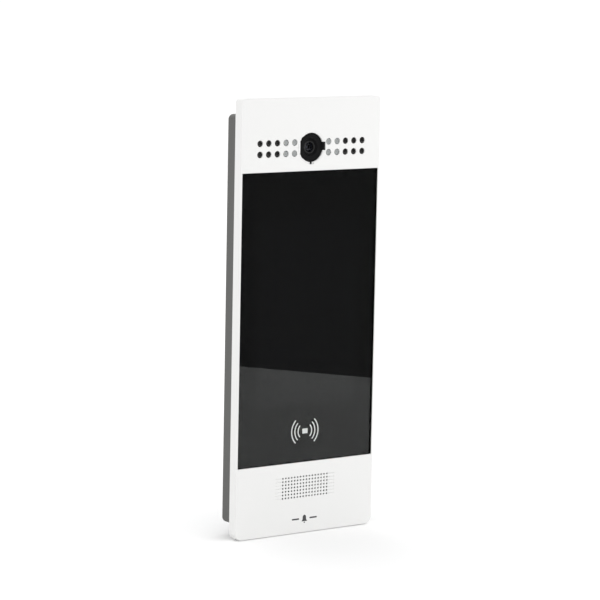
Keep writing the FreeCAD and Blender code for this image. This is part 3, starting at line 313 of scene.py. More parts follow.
@dataclass(frozen=True)
class TurnedRings(Finish):
    """A surface with fine concentric grooves from the lathe or the mould, centred on the camera."""

    groove_mm: float = 0.35
    centre: Point = (0.0, 0.0, 0.0)

    def dress(self, tree: Tree, shader: Shader, place: Socket) -> None:
        """Rings round an axis along Y through the centre.

        Args:
            tree: the material's node tree.
            shader: the principled shader.
            place: the object coordinates, in metres.
        """
        self.tone(tree, shader, self.pattern(tree, place, self.mottle_mm))
        back = tuple(-c for c in self.centre)
        moved = add_node(tree, "ShaderNodeMapping", {"Vector": place, "Location": back}).outputs[0]
        wave = {"Vector": moved, "Scale": wave_scale(self.groove_mm), "Distortion": 0.0}
        rings = add_node(tree, "ShaderNodeTexWave", wave, wave_type="RINGS", rings_direction="Y")
        self.bump(tree, shader, rings.outputs["Fac"], self.grain_depth_mm)


@dataclass(frozen=True)
class Weave(Finish):
    """A plain woven cloth: two sets of threads at right angles, with a painted highlight on each thread's
    crown and painted shade between threads.
    """

    thread_mm: float = 0.35
    unevenness: float = 0.6
    sheen: float = 0.3

    def dress(self, tree: Tree, shader: Shader, place: Socket) -> None:
        """Threads along X and along Z; painted shade darkens the tone between them, and a painted
        highlight lightens each crown.

        Args:
            tree: the material's node tree.
            shader: the principled shader.
            place: the object coordinates, in metres.
        """
        wave = {"Vector": place, "Scale": wave_scale(self.thread_mm), "Distortion": self.unevenness}
        weft = add_node(tree, "ShaderNodeTexWave", wave, bands_direction="X").outputs["Fac"]
        warp = add_node(tree, "ShaderNodeTexWave", wave, bands_direction="Z").outputs["Fac"]
        cloth = add_node(tree, "ShaderNodeMath", {0: weft, 1: warp}, operation="MULTIPLY")
        # The thread pattern also sets the colour: a painted highlight on each crown and painted shade
        # between threads; the bump below is the real relief.
        self.tone(tree, shader, cloth.outputs[0])
        self.bump(tree, shader, cloth.outputs[0], self.thread_mm / 3)
        shader.inputs["Sheen Weight"].default_value = self.sheen


@dataclass(frozen=True)
class SolderMask(Finish):
    """A circuit board: glossy lacquer over copper tracks, which show as slightly raised lighter lanes."""

    lane_mm: float = 2.4
    bare: str = "#0E3B1C"
    tracks: str = "#2F7D3F"
    track_share: float = 0.06
    raised_mm: float = 0.03

    def dress(self, tree: Tree, shader: Shader, place: Socket) -> None:
        """Lanes of tracks between blocks, from a brick pattern laid on the board's own plane.

        Args:
            tree: the material's node tree.
            shader: the principled shader.
            place: the object coordinates, in metres.
        """
        upright = {"Vector": place, "Rotation": (math.pi / 2, 0.0, 0.0)}
        flat = add_node(tree, "ShaderNodeMapping", upright).outputs[0]
        # A row of the brick pattern is a quarter of its unit high.
        brick = {
            "Vector": flat,
            "Color1": linear(self.colour),
            "Color2": linear(self.bare),
            "Mortar": linear(self.tracks),
            "Scale": per_metre(self.lane_mm) / 4,
            "Mortar Size": self.track_share,
            "Mortar Smooth": 0.1,
        }
        lanes = add_node(tree, "ShaderNodeTexBrick", brick, offset=0.37, squash=1.6)
        tree.links.new(lanes.outputs["Color"], shader.inputs["Base Color"])
        shader.inputs["Roughness"].default_value = self.roughness
        self.bump(tree, shader, lanes.outputs["Fac"], self.raised_mm)


@dataclass(frozen=True)
class ClearBody(Finish):
    """Glass or cast epoxy that light passes through, with a faint unevenness in its polish."""

    coat_tint: str = "#FFFFFF"
    coat: float = 0.0
    cloud: float = 0.0

    def dress(self, tree: Tree, shader: Shader, place: Socket) -> None:
        """A transmitting shader with one even polish and a faint drift of tint.

        Args:
            tree: the material's node tree.
            shader: the principled shader.
            place: the object coordinates, in metres.
        """
        self.shade(tree, shader, self.pattern(tree, place, self.mottle_mm))
        shader.inputs["Transmission Weight"].default_value = 1.0 - self.cloud
        shader.inputs["Roughness"].default_value = self.roughness
        shader.inputs["Coat Weight"].default_value = self.coat
        shader.inputs["Coat Tint"].default_value = linear(self.coat_tint)


@dataclass(frozen=True)
class StripedFilm(Finish):
    """Amber polyimide film over copper tracks, which show through it as darker stripes."""

    stripe_mm: float = 0.8
    raised_mm: float = 0.03

    def dress(self, tree: Tree, shader: Shader, place: Socket) -> None:
        """Stripes across X, raised a little where a track lies under the film.

        Args:
            tree: the material's node tree.
            shader: the principled shader.
            place: the object coordinates, in metres.
        """
        wave = {"Vector": place, "Scale": wave_scale(self.stripe_mm), "Distortion": 0.0}
        stripes = add_node(tree, "ShaderNodeTexWave", wave, bands_direction="X").outputs["Fac"]
        self.tone(tree, shader, stripes)
        self.bump(tree, shader, stripes, self.raised_mm)


CAMERA_LOW, CAMERA_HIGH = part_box("camera_bezel")
CAMERA_AXIS = (
    (CAMERA_LOW.x + CAMERA_HIGH.x) / 2,
    0.0,
    (CAMERA_LOW.z + CAMERA_HIGH.z) / 2,
)

# Powder-coated aluminium: a satin white skin with the slight orange peel of baked powder.
WHITE_COAT = Finish(
    "powder_coated_aluminium", "#DEDEDD", 0.40, grain_mm=0.9, grain_depth_mm=0.006, mottle=0.008
)
# Toughened soda-lime glass, polished and clear. The layer fused behind it carries the whole mirror-sharp
# reflection, so the two never give a double image.
CLEAR_GLASS = ClearBody("toughened_glass", "#FCFFFD", 0.0, ior=1.0, mottle=0.01, mottle_mm=45.0)
# Enamel screen-printed on the glass and fused to it: an even, deep black under the glass's
# mirror-sharp reflection.
BLACK_PRINT = Finish(
    "screen_printed_enamel", "#070707", 0.0, ior=1.43, grain_depth_mm=0.0, mottle=0.06, gloss_spread=0.0
)
# The screen's polarising film, bonded to the glass: as dark as the print, and it reflects a little more.
POLARISER = Finish(
    "bonded_polariser_film", "#070708", 0.0, ior=1.47, grain_depth_mm=0.0, mottle=0.05, gloss_spread=0.0
)
# White ink under the glass, which shows slightly grey through it.
WHITE_INK = Finish("white_screen_ink", "#DCDCDC", 0.6, grain_mm=0.15, mottle=0.04)
# Dark grey pad-printed ink on the white coat: dull and slightly uneven.
GREY_INK = Finish("grey_pad_print_ink", "#39393B", 0.55, grain_mm=0.12, mottle=0.12)
# Spark-eroded ABS: the mould's fine pitting spreads every highlight into a soft sheen.
GREY_ABS = Finish(
    "spark_eroded_abs", "#525250", 0.58, ior=1.53, grain_mm=0.55, grain_depth_mm=0.03, mottle=0.05
)
# Glass-filled nylon moulded black, with the same kind of pitting but finer.
BLACK_NYLON = Finish(
    "black_glass_filled_nylon", "#1B1B1C", 0.5,
    ior=1.53, grain_mm=0.35, grain_depth_mm=0.015, mottle=0.1,
)
# Black ABS moulded with fine rings, which keep stray light off a lens and break up the sheen.
RINGED_BLACK = TurnedRings(
    "ringed_black_abs", "#0D0D0E", 0.5, ior=1.2, grain_depth_mm=0.03, groove_mm=0.6, centre=CAMERA_AXIS
)
# Black anodised aluminium, turned: tight bright-edged rings on a dark satin.
ANODISED_RING = TurnedRings(
    "turned_black_anodised_aluminium",
    "#323232",
    0.34,
    metallic=1.0,
    grain_depth_mm=0.02,
    groove_mm=0.3,
    centre=CAMERA_AXIS,
)
# Lens glass with its antireflection coat, which turns the little that it reflects blue-violet.
LENS_GLASS = ClearBody(
    "coated_lens_glass", "#8C90A0", 0.0, ior=1.28, mottle=0.01, coat=0.05, coat_tint="#8F9BFF"
)
# Milky cast epoxy of a white lamp, which looks pale grey and half hides the cup in it.
MILKY_EPOXY = ClearBody("milky_epoxy", "#D0D4D4", 0.05, ior=1.54, cloud=0.45)
# Water-clear cast epoxy of the light sensor.
CLEAR_EPOXY = ClearBody("water_clear_epoxy", "#F2F5F6", 0.03, ior=1.54)
# Smoked epoxy of an infrared lamp, nearly black to the eye.
SMOKED_EPOXY = ClearBody("smoke_tinted_epoxy", "#30302F", 0.06, ior=1.42, cloud=0.3)
# Hot-dip galvanised steel sheet: flat crystals in shades of pale grey.
ZINC_SHEET = ZincSpangle(
    "galvanised_steel_sheet", "#B9BCBE", 0.36,
    metallic=1.0, grain_mm=0.5, grain_depth_mm=0.006, mottle=0.14, gloss_spread=0.1,
)
# Cold-rolled steel with a zinc flash, drawn with coarser rolling lines than real ones, so that they show.
ROLLED_STEEL = RolledSheet(
    "zinc_flashed_steel", "#A9ABAD", 0.34, metallic=1.0, grain_depth_mm=0.004, mottle=0.12
)
# Zinc-plated screws: turned wire, slightly yellowed by its passivation.
SCREW_STEEL = Finish("passivated_screw_steel", "#A7A59D", 0.3, metallic=1.0, grain_mm=0.2, mottle=0.12)
# Black-oxide security screws.
BLACK_SCREW = Finish("black_oxide_steel", "#2C2C2E", 0.42, metallic=1.0, grain_mm=0.2, mottle=0.15)
# Tinned sheet pressed into a can: bright and slightly wavy.
TINNED_CAN = Finish(
    "tinned_steel", "#BDBDB9", 0.24, metallic=1.0, grain_mm=6.0, grain_depth_mm=0.05, mottle=0.06
)
# Nickel plate: a warm, mirror-like metal with fine wear.
NICKEL = Finish(
    "nickel_plate", "#A3A19B", 0.24, metallic=1.0, grain_mm=0.8, grain_depth_mm=0.003, mottle=0.08
)
# Gold flash on spring contacts.
GOLD = Finish("gold_flash", "#D8A94A", 0.22, metallic=1.0, grain_mm=0.3, mottle=0.05)
# Bare copper tracks, a little dulled.
COPPER = Finish("etched_copper", "#B46E4B", 0.35, metallic=1.0, grain_mm=0.4, mottle=0.12)
# Drawn aluminium capacitor cans.
CAN_ALUMINIUM = RolledSheet(
    "drawn_aluminium_can", "#C4C6C9", 0.28, metallic=1.0, grain_depth_mm=0.003, mottle=0.05
)
# Solder mask over copper on a glass-fibre board.
BOARD = SolderMask("solder_masked_board", "#155C2B", 0.28)
# Black epoxy moulding compound of chips and relays, with a dull bead-blasted skin.
CHIP_RESIN = Finish(
    "chip_moulding_compound", "#1E1E20", 0.62, grain_mm=0.2, grain_depth_mm=0.01, mottle=0.1
)
# Natural heat-resistant connector nylon.
CREAM_NYLON = Finish("natural_nylon", "#D9CFB6", 0.45, grain_mm=0.4, mottle=0.05)
# Green polyamide of pluggable terminals.
GREEN_NYLON = Finish("green_polyamide", "#1E8A48", 0.42, grain_mm=0.4, grain_depth_mm=0.01, mottle=0.06)
# White acetal: smooth, slightly waxy.
ACETAL = Finish("white_acetal", "#E6E5E0", 0.3, ior=1.48, grain_mm=0.8, mottle=0.02)
# Red polycarbonate of the reset button.
RED_CAP = Finish("red_polycarbonate", "#A3201C", 0.22, ior=1.58, grain_mm=0.6, mottle=0.04)
# Moulded silicone rubber: dull, with a dusty bloom.
RUBBER = Finish(
    "moulded_silicone_rubber", "#232324", 0.72, ior=1.42, grain_mm=0.5, grain_depth_mm=0.02, mottle=0.12
)
# Closed-cell foam: cut cells leave a pitted face.
FOAM = Finish("closed_cell_foam", "#2A2A2B", 0.95, grain_mm=0.6, grain_depth_mm=0.15, mottle=0.25)
# Acoustic mesh: woven polyester, its threads drawn coarser than real ones so that they show, with a
# painted highlight on each crown and painted shade between threads.
ACOUSTIC_MESH = Weave("acoustic_polyester_mesh", "#19191A", 0.9, ior=1.3, mottle=0.4, thread_mm=0.5)
# Pressed paper cone.
PAPER = Finish("pressed_paper", "#2B2A29", 0.9, grain_mm=0.7, grain_depth_mm=0.05, mottle=0.2)
# Sintered ferrite magnet: a dull, dark ceramic grey.
FERRITE = Finish("sintered_ferrite", "#3B3B3D", 0.6, grain_mm=0.3, grain_depth_mm=0.02, mottle=0.2)
# Polyimide flexible cable.
FLEX_FILM = StripedFilm("polyimide_flex", "#B26A22", 0.25, mottle=0.35)
# Optically clear touch film with its faint conductive grid.
TOUCH_FILM = ClearBody("clear_touch_film", "#DDE6E4", 0.05, ior=1.49)
# Yellow phosphor of the white lamps.
PHOSPHOR = Finish("lamp_phosphor", "#E8D27A", 0.7, grain_mm=0.1, mottle=0.1)
# Spring wire.
SPRING_WIRE = Finish("oiled_spring_steel", "#8C8D90", 0.25, metallic=1.0, grain_mm=0.2, mottle=0.1)
# Small ceramic resistors and capacitors.
CERAMIC_CHIP = Finish("ceramic_chip", "#8A6E4E", 0.5, grain_mm=0.2, mottle=0.2)

NODE_FINISHES: dict[str, Finish] = {
    "front_panel": WHITE_COAT,
    "glass_adhesive": FOAM,
    "touch_sensor": TOUCH_FILM,
    "lcd_panel": POLARISER,
    "lcd_backlight_frame": ROLLED_STEEL,
    "lcd_bracket": ZINC_SHEET,
    "display_flex_cable": FLEX_FILM,
    "camera_bezel": RINGED_BLACK,
    "lens_ring": ANODISED_RING,
    "camera_barrel": BLACK_NYLON,
    "camera_sensor_board": BOARD,
    "led_board": BOARD,
    "led_light_baffle": BLACK_NYLON,
    "cover_glass": CLEAR_GLASS,
    "front_lens": LENS_GLASS,
    "white_leds": MILKY_EPOXY,
    "infrared_leds": SMOKED_EPOXY,
    "led_board_screws": SCREW_STEEL,
    "presence_sensor_board": BOARD,
    "light_sensor": CLEAR_EPOXY,
    "range_sensors": SMOKED_EPOXY,
    "rfid_antenna_board": BOARD,
    "speaker_mesh": ACOUSTIC_MESH,
    "speaker_gasket": FOAM,
    "speaker_basket": BLACK_NYLON,
    "speaker_cone": PAPER,
    "speaker_magnet": FERRITE,
    "microphone_boot": RUBBER,
    "microphone": NICKEL,
    "rear_housing": GREY_ABS,
    "perimeter_seal": RUBBER,
    "bay_liner": BLACK_NYLON,
    "main_board": BOARD,
    "processor_shield": TINNED_CAN,
    "backup_battery": NICKEL,
    "memory_module": CHIP_RESIN,
    "flex_connector": CREAM_NYLON,
    "relay": CHIP_RESIN,
    "power_capacitors": CAN_ALUMINIUM,
    "ethernet_jack": NICKEL,
    "terminal_blocks": GREEN_NYLON,
    "board_screws": SCREW_STEEL,
    "tamper_plunger": ACETAL,
    "tamper_switch": CHIP_RESIN,
    "tamper_spring": SPRING_WIRE,
    "reset_button": RED_CAP,
    "reset_switch": NICKEL,
    "wall_bracket": ZINC_SHEET,
    "housing_screws": SCREW_STEEL,
    "display_screws": SCREW_STEEL,
    "security_screws": BLACK_SCREW,
}


# ---- Mesh building --------------------------------------------------------------------------


def circle(radius_mm: float, y: float, centre: Point = (0.0, 0.0, 0.0), count: int = 64) -> Loop:
    """A ring of points round an axis along Y.

    Args:
        radius_mm: the ring's radius.
        y: its place along Y, in metres.
        centre: the axis's X and Z, in metres.
        count: how many points.

    Returns:
        The points, clockwise as seen from the front.
    """
    turns = [2 * math.pi * i / count for i in range(count)]
    radius = radius_mm * MM
    return [(centre[0] + radius * math.cos(a), y, centre[2] + radius * math.sin(a)) for a in turns]


def rounded_rectangle(low: Point, high: Point, radius_mm: float, y: float, steps: int = 6) -> Loop:
    """A rectangle in the XZ plane with round corners.

    Args:
        low: the corner with the lowest X and Z, in metres.
        high: the corner with the highest X and Z, in metres.
        radius_mm: the corner radius.
        y: its place along Y, in metres.
        steps: how many steps each corner takes.

    Returns:
        The points, in the same turning sense as circle().
    """
    radius = radius_mm * MM
    corners = [(high[0], high[2], 0), (low[0], high[2], 1), (low[0], low[2], 2), (high[0], low[2], 3)]
    points: Loop = []
    for x, z, quarter in corners:
        centre_x = x - radius if x == high[0] else x + radius
        centre_z = z - radius if z == high[2] else z + radius
        for step in range(steps + 1):
            angle = math.pi / 2 * (quarter + step / steps)
            points.append((centre_x + radius * math.cos(angle), y, centre_z + radius * math.sin(angle)))
    return points


def polar(centre: Point, distance_mm: float, angle: float) -> Point:
    """The point of the XZ plane at that distance and angle, in radians from +X, from a centre."""
    reach = distance_mm * MM
    return (centre[0] + reach * math.cos(angle), 0.0, centre[2] + reach * math.sin(angle))


def turned(profile: Profile, centre: Point, count: int = 64) -> list[Loop]:
    """Rings round an axis along Y.

    Args:
        profile: pairs of a radius in mm and a Y in metres.
        centre: the axis's X and Z, in metres.
        count: how many points each ring has.

    Returns:
        The rings, in the profile's order.
    """
    return [circle(radius, y, centre, count) for radius, y in profile]


def shifted(loop: Loop, y: float) -> Loop:
    """The same loop at another place along Y."""
    return [(x, y, z) for x, _, z in loop]


class Sculptor:
    """Gathers lofted shapes into one mesh, each with its finish, and makes the piece of them."""

    def __init__(self, name: str) -> None:
        """Starts an empty piece of that name."""
        self.name = name
        self.mesh = bmesh.new()
        self.finishes: list[Finish] = []

    def number_of(self, finish: Finish) -> int:
        """The number of a finish among the piece's materials, added on first use."""
        if finish not in self.finishes:
            self.finishes.append(finish)
        return self.finishes.index(finish)

    def ring(self, loop: Loop) -> Ring:
        """Adds a loop's points to the mesh."""
        return [self.mesh.verts.new(point) for point in loop]

    def band(self, ring: Ring, following: Ring, finish: Finish) -> None:
        """Skins the strip between two rings that have the same number of points.

        Args:
            ring: one ring.
            following: the other.
            finish: the finish of the new faces.
        """
        number = self.number_of(finish)
        for i in range(len(ring)):
            j = (i + 1) % len(ring)
            face = self.mesh.faces.new((ring[i], ring[j], following[j], following[i]))
            face.material_index = number

    def cap(self, ring: Ring, finish: Finish) -> None:
        """Closes a ring with one face."""
        self.mesh.faces.new(ring).material_index = self.number_of(finish)

    def loft(self, loops: list[Loop], finish: Finish, closed: bool = False) -> None:
        """Skins a row of loops that have the same number of points.

        Args:
            loops: the loops, from one end to the other.
            finish: the finish of the new faces.
            closed: whether the last loop joins the first one, as in a hoop; if not, both ends are capped.
        """
        rings = [self.ring(loop) for loop in loops]
        for ring, following in zip(rings, rings[1:]):
            self.band(ring, following, finish)
        if closed:
            self.band(rings[-1], rings[0], finish)
        else:
            self.cap(rings[0], finish)
            self.cap(rings[-1], finish)

    def slab(self, outline: Loop, rear: float, front: float, finish: Finish) -> None:
        """Adds a flat solid between two places along Y.

        Args:
            outline: the outline, whose own Y is ignored.
            rear: the rear face's Y, in metres.
            front: the front face's Y, in metres.
            finish: the finish.
        """
        self.loft([shifted(outline, rear), shifted(outline, front)], finish)

    def ribbon(
        self, path: list[Point], across: Point, width_mm: float, thick_mm: float, finish: Finish
    ) -> None:
        """Adds a strip of sheet bent along a path.

        Args:
            path: the middle of the strip, in metres.
            across: the unit direction of its width.
            width_mm: the strip's width.
            thick_mm: the strip's thickness.
            finish: the finish.
        """
        wide = Vector(across) * width_mm * MM / 2
        corners = ((-1, -1), (1, -1), (1, 1), (-1, 1))
        loops = []
        for i, point in enumerate(path):
            along = Vector(path[min(i + 1, len(path) - 1)]) - Vector(path[max(i - 1, 0)])
            up = along.cross(Vector(across)).normalized() * thick_mm * MM / 2
            centre = Vector(point)
            loops.append([tuple(centre + wide * u + up * v) for u, v in corners])
        self.loft(loops, finish)

    def piece(self, body: Body, slot: Slot, smooth_angle: float = 32.0) -> bpy.types.Object:
        """Makes the object, and lets it ride on a body.

        Args:
            body: the body that it moves with.
            slot: the record's material slot; not used.
            smooth_angle: edges sharper than this many degrees stay sharp.

        Returns:
            The new object.
        """
        bmesh.ops.recalc_face_normals(self.mesh, faces=self.mesh.faces)
        data = bpy.data.meshes.new(self.name)
        self.mesh.to_mesh(data)
        self.mesh.free()
        for finish in self.finishes:
            data.materials.append(finish.material())
        data.polygons.foreach_set("use_smooth", [True] * len(data.polygons))
        data.set_sharp_from_angle(angle=math.radians(smooth_angle))
        thing = bpy.data.objects.new(self.name, data)
        bpy.context.scene.collection.objects.link(thing)
        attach(thing, body.value)
        LOG.info("%s: %d faces", self.name, len(data.polygons))
        return thing


# ---- The unit's own pieces ------------------------------------------------------------------


@dataclass
class CoverGlass:
    """The black cover glass: a slab with its printed border and bonded screen, and its marks."""

    corner: float = 1.2
    edge: float = 0.3
    front_gap: float = 0.01
    rear_gap: float = 0.05
    ink: float = 0.02
    screen_width: float = 98.8
    screen_height: float = 155.3
    screen_corner: float = 0.6
    mark_height: float = -94.9
    stroke: float = 1.0
    chip_width: float = 5.3
    chip_height: float = 4.1
    chip_corner: float = 0.4
    waves: tuple[tuple[float, float], ...] = ((6.8, 41.0), (10.0, 42.5), (13.2, 44.0))
    sensor_radius: float = 0.9

    def build(self) -> None:
        """Makes the glass and the marks under it."""
        self.sheet()
        self.reader_mark()
        self.sensor_mark()

    def sheet(self) -> None:
        """The slab, whose rear is print round the screen and polariser on the screen."""
        low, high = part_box("cover_glass")
        front, rear = low.y + self.front_gap * MM, self.rear()
        ease = self.edge * MM
        inward = Vector((ease, 0, ease))
        outline = rounded_rectangle(low, high, self.corner, rear)
        inset = rounded_rectangle(low + inward, high - inward, self.corner, front)
        screen_low, screen_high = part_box("lcd_panel")
        middle = (screen_low + screen_high) / 2
        half = Vector((self.screen_width, 0, self.screen_height)) * MM / 2
        window = rounded_rectangle(middle - half, middle + half, self.screen_corner, rear)
        glass = Sculptor("glass_sheet")
        self.skin(glass, [inset, shifted(outline, front + ease), outline, window])
        piece = glass.piece(Body.UNIT, Slot.GLASS, 20.0)
        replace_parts(piece, "cover_glass")

    def rear(self) -> float:
        """The Y of the slab's printed rear, just clear of the tape and the touch layer."""
        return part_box("cover_glass")[1].y - self.rear_gap * MM

    def skin(self, glass: Sculptor, loops: list[Loop]) -> None:
        """Joins the slab's loops: a clear front, blacked edges, and print round the screen's window.

        Args:
            glass: the piece.
            loops: the front's edge, the foot of its ease, the rear's edge and the window, in that order.
        """
        rings = [glass.ring(loop) for loop in loops]
        for ring, following, finish in zip(rings, rings[1:], (CLEAR_GLASS, BLACK_PRINT, BLACK_PRINT)):
            glass.band(ring, following, finish)
        glass.cap(rings[0], CLEAR_GLASS)
        glass.cap(rings[-1], POLARISER)

    def reader_mark(self) -> None:
        """The card reader's mark: a chip with three pairs of waves beside it."""
        mark = Sculptor("card_reader_mark")
        centre = Vector((0, 0, self.mark_height * MM))
        chip = Vector((self.chip_width, 0, self.chip_height)) * MM / 2
        outline = rounded_rectangle(centre - chip, centre + chip, self.chip_corner, 0.0)
        self.print_on(mark, outline, WHITE_INK)
        for radius, half_angle in self.waves:
            for facing in (0.0, 180.0):
                wave = arc_stroke(centre, radius, half_angle, facing, self.stroke)
                self.print_on(mark, wave, WHITE_INK)
        mark.piece(Body.UNIT, Slot.GLASS)

    def sensor_mark(self) -> None:
        """The small dim opening in the print over the light sensor."""
        low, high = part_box("light_sensor")
        spot = ((low.x + high.x) / 2, 0.0, (low.z + high.z) / 2)
        dot = Sculptor("light_sensor_window")
        self.print_on(dot, circle(self.sensor_radius, 0.0, spot, 32), POLARISER)
        dot.piece(Body.UNIT, Slot.GLASS)

    def print_on(self, mark: Sculptor, outline: Loop, finish: Finish) -> None:
        """Lays a film of that outline on the print, inside the slab."""
        rear = self.rear() - self.ink * MM
        mark.slab(outline, rear, rear - self.ink * MM, finish)


def arc_stroke(centre: Point, radius: float, half_angle: float, facing: float, width: float) -> Loop:
    """The outline of a round-ended arc in the XZ plane.

    Args:
        centre: the arc's centre, in metres.
        radius: the radius of the stroke's middle, in mm.
        half_angle: half of the arc's angle, in degrees.
        facing: the direction of the arc's middle from +X, in degrees.
        width: the stroke's width, in mm.

    Returns:
        The outline's points.
    """
    arc_steps, end_steps = 20, 6
    points: Loop = []
    middle, half = math.radians(facing), math.radians(half_angle)
    for side in (1, -1):
        for step in range(arc_steps + 1):
            angle = middle + side * half * (2 * step / arc_steps - 1)
            points.append(polar(centre, radius + side * width / 2, angle))
        end = middle + side * half
        tip = polar(centre, radius, end)
        start = end if side > 0 else end + math.pi
        turns = [start + math.pi * step / end_steps for step in range(1, end_steps)]
        points += [polar(tip, width / 2, turn) for turn in turns]
    return points


@dataclass
class DoorbellMark:
    """A plain bell with a bar at each side, printed at the foot of the panel.

    The dome and the flare are shares of the bell's width and height, from the bell's middle.
    """

    height: float = -168.2
    bell_tall: float = 6.0
    bell_wide: float = 5.4
    dome_half: float = 0.31
    dome_base: float = 0.18
    dome_rise: float = 0.32
    dome_steps: int = 12
    flare: tuple[tuple[float, float], ...] = ((0.33, -0.12), (0.40, -0.24), (0.5, -0.34), (0.5, -0.40))
    clapper: float = 0.62
    clapper_drop: float = -0.56
    bar: tuple[float, float] = (5.2, 12.6)
    bar_thick: float = 1.3
    bar_flat: float = 0.01
    ink: float = 0.01
    sunk: float = 0.05

    def build(self) -> None:
        """Prints the mark on the panel's front."""
        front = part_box("front_panel")[0].y
        mark = Sculptor("doorbell_mark")
        for outline in self.outlines():
            mark.slab(outline, front + self.sunk * MM, front - self.ink * MM, GREY_INK)
        mark.piece(Body.UNIT, Slot.BLACK_PLASTIC)

    def outlines(self) -> list[Loop]:
        """The bell's shell, its clapper and the two bars."""
        clapper = circle(self.clapper, 0.0, (0.0, 0.0, self.up(self.clapper_drop)), 24)
        return [self.shell(), clapper] + self.bars()

    def up(self, share: float) -> float:
        """A height in metres, as a share of the bell's height from its middle."""
        return (self.height + share * self.bell_tall) * MM

    def shell(self) -> Loop:
        """The bell's outline: a dome that flares to its lip.

        Returns:
            The outline's points.
        """
        turns = [math.pi / 2 * (1 - step / self.dome_steps) for step in range(self.dome_steps + 1)]
        reach, base, rise = self.dome_half, self.dome_base, self.dome_rise
        right = [(reach * math.cos(a), base + rise * math.sin(a)) for a in turns]
        half = [(x * self.bell_wide * MM, 0.0, self.up(z)) for x, z in right + list(self.flare)]
        return half + [(-x, y, z) for x, y, z in reversed(half) if x > WELD_REACH]

    def bars(self) -> list[Loop]:
        """A round-ended bar at each side of the bell.

        Returns:
            The two outlines.
        """
        half = self.bar_thick / 2
        made = []
        for side in (-1, 1):
            left, right = sorted(side * end * MM for end in self.bar)
            low = (left, 0.0, (self.height - half) * MM)
            high = (right, 0.0, (self.height + half) * MM)
            made.append(rounded_rectangle(low, high, half - self.bar_flat, 0.0))
        return made


@dataclass
class CameraOptics:
    """The lenses behind the camera's ring, with the black stepped baffle that they sit in.

    The front and the rear are the front lens's own places along Y, in metres.
    """

    front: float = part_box("front_lens")[0].y
    rear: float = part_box("front_lens")[1].y
    aperture: float = 3.68
    dome_bend: float = 6.4
    dome_rings: int = 10
    hollow_bend: float = 5.2
    lens_wall: float = 0.5
    lens_thick: float = 0.9
    second_radius: float = 2.0
    second_bend: float = 3.2
    second_depth: float = 1.7
    second_thick: float = 1.1
    iris: float = 1.1
    steps: int = 5
    step_depth: float = 0.28
    baffle_depth: float = 2.3
    baffle_gap: float = 0.05
    foot_gap: float = 0.02
    floor_gap: float = 0.1
    sensor_thick: float = 0.02

    def build(self) -> None:
        """Makes the front lens, the second lens and the baffle."""
        self.meniscus()
        self.second_lens()
        self.baffle()

    def dome(self, radius: float, apex: float, bend: float) -> list[Loop]:
        """The loops of a domed face, from its rim to near its apex.

        Args:
            radius: the face's own radius, in mm.
            apex: the Y of its apex, in metres.
            bend: the radius of its sphere, in mm.

        Returns:
            The loops.
        """
        profile: Profile = []
        for ring in range(self.dome_rings):
            reach = radius * (1 - ring / self.dome_rings)
            profile.append((reach, apex + (bend - math.sqrt(bend * bend - reach * reach)) * MM))
        return turned(profile, CAMERA_AXIS)

    def meniscus(self) -> None:
        """The domed front lens, hollow behind."""
        lens = Sculptor("lens_meniscus")
        outer = self.dome(self.aperture, self.front, self.dome_bend)
        hollow = self.front + self.lens_thick * MM
        inner = self.dome(self.aperture - self.lens_wall, hollow, self.hollow_bend)
        lens.loft(list(reversed(outer)) + inner, LENS_GLASS)
        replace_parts(lens.piece(Body.UNIT, Slot.LENS, 60.0), "front_lens")

    def second_lens(self) -> None:
        """The smaller lens over the iris."""
        lens = Sculptor("lens_second")
        apex = self.front + self.second_depth * MM
        outer = self.dome(self.second_radius, apex, self.second_bend)
        back = circle(self.second_radius, apex + self.second_thick * MM, CAMERA_AXIS)
        lens.loft(list(reversed(outer)) + [back], LENS_GLASS)
        lens.piece(Body.UNIT, Slot.LENS, 60.0)

    def baffle(self) -> None:
        """Black steps that close in on the iris, and the dark sensor behind it."""
        profile: Profile = []
        y = self.rear - self.baffle_depth * MM
        for step in range(self.steps):
            radius = self.aperture - self.baffle_gap - (self.aperture - self.iris) * step / self.steps
            profile += [(radius, y), (radius, y + self.step_depth * MM)]
            y += self.step_depth * MM
        floor = self.rear - self.floor_gap * MM
        profile += [(self.iris, y), (self.iris, floor)]
        profile.append((self.aperture - self.foot_gap, self.rear - self.baffle_gap * MM))
        sensor = [(self.iris, floor - self.sensor_thick * MM), (self.iris, floor)]
        steps = Sculptor("lens_baffle")
        steps.loft(turned(profile, CAMERA_AXIS), BLACK_NYLON, closed=True)
        steps.loft(turned(sensor, CAMERA_AXIS), CHIP_RESIN)
        steps.piece(Body.UNIT, Slot.BLACK_PLASTIC)


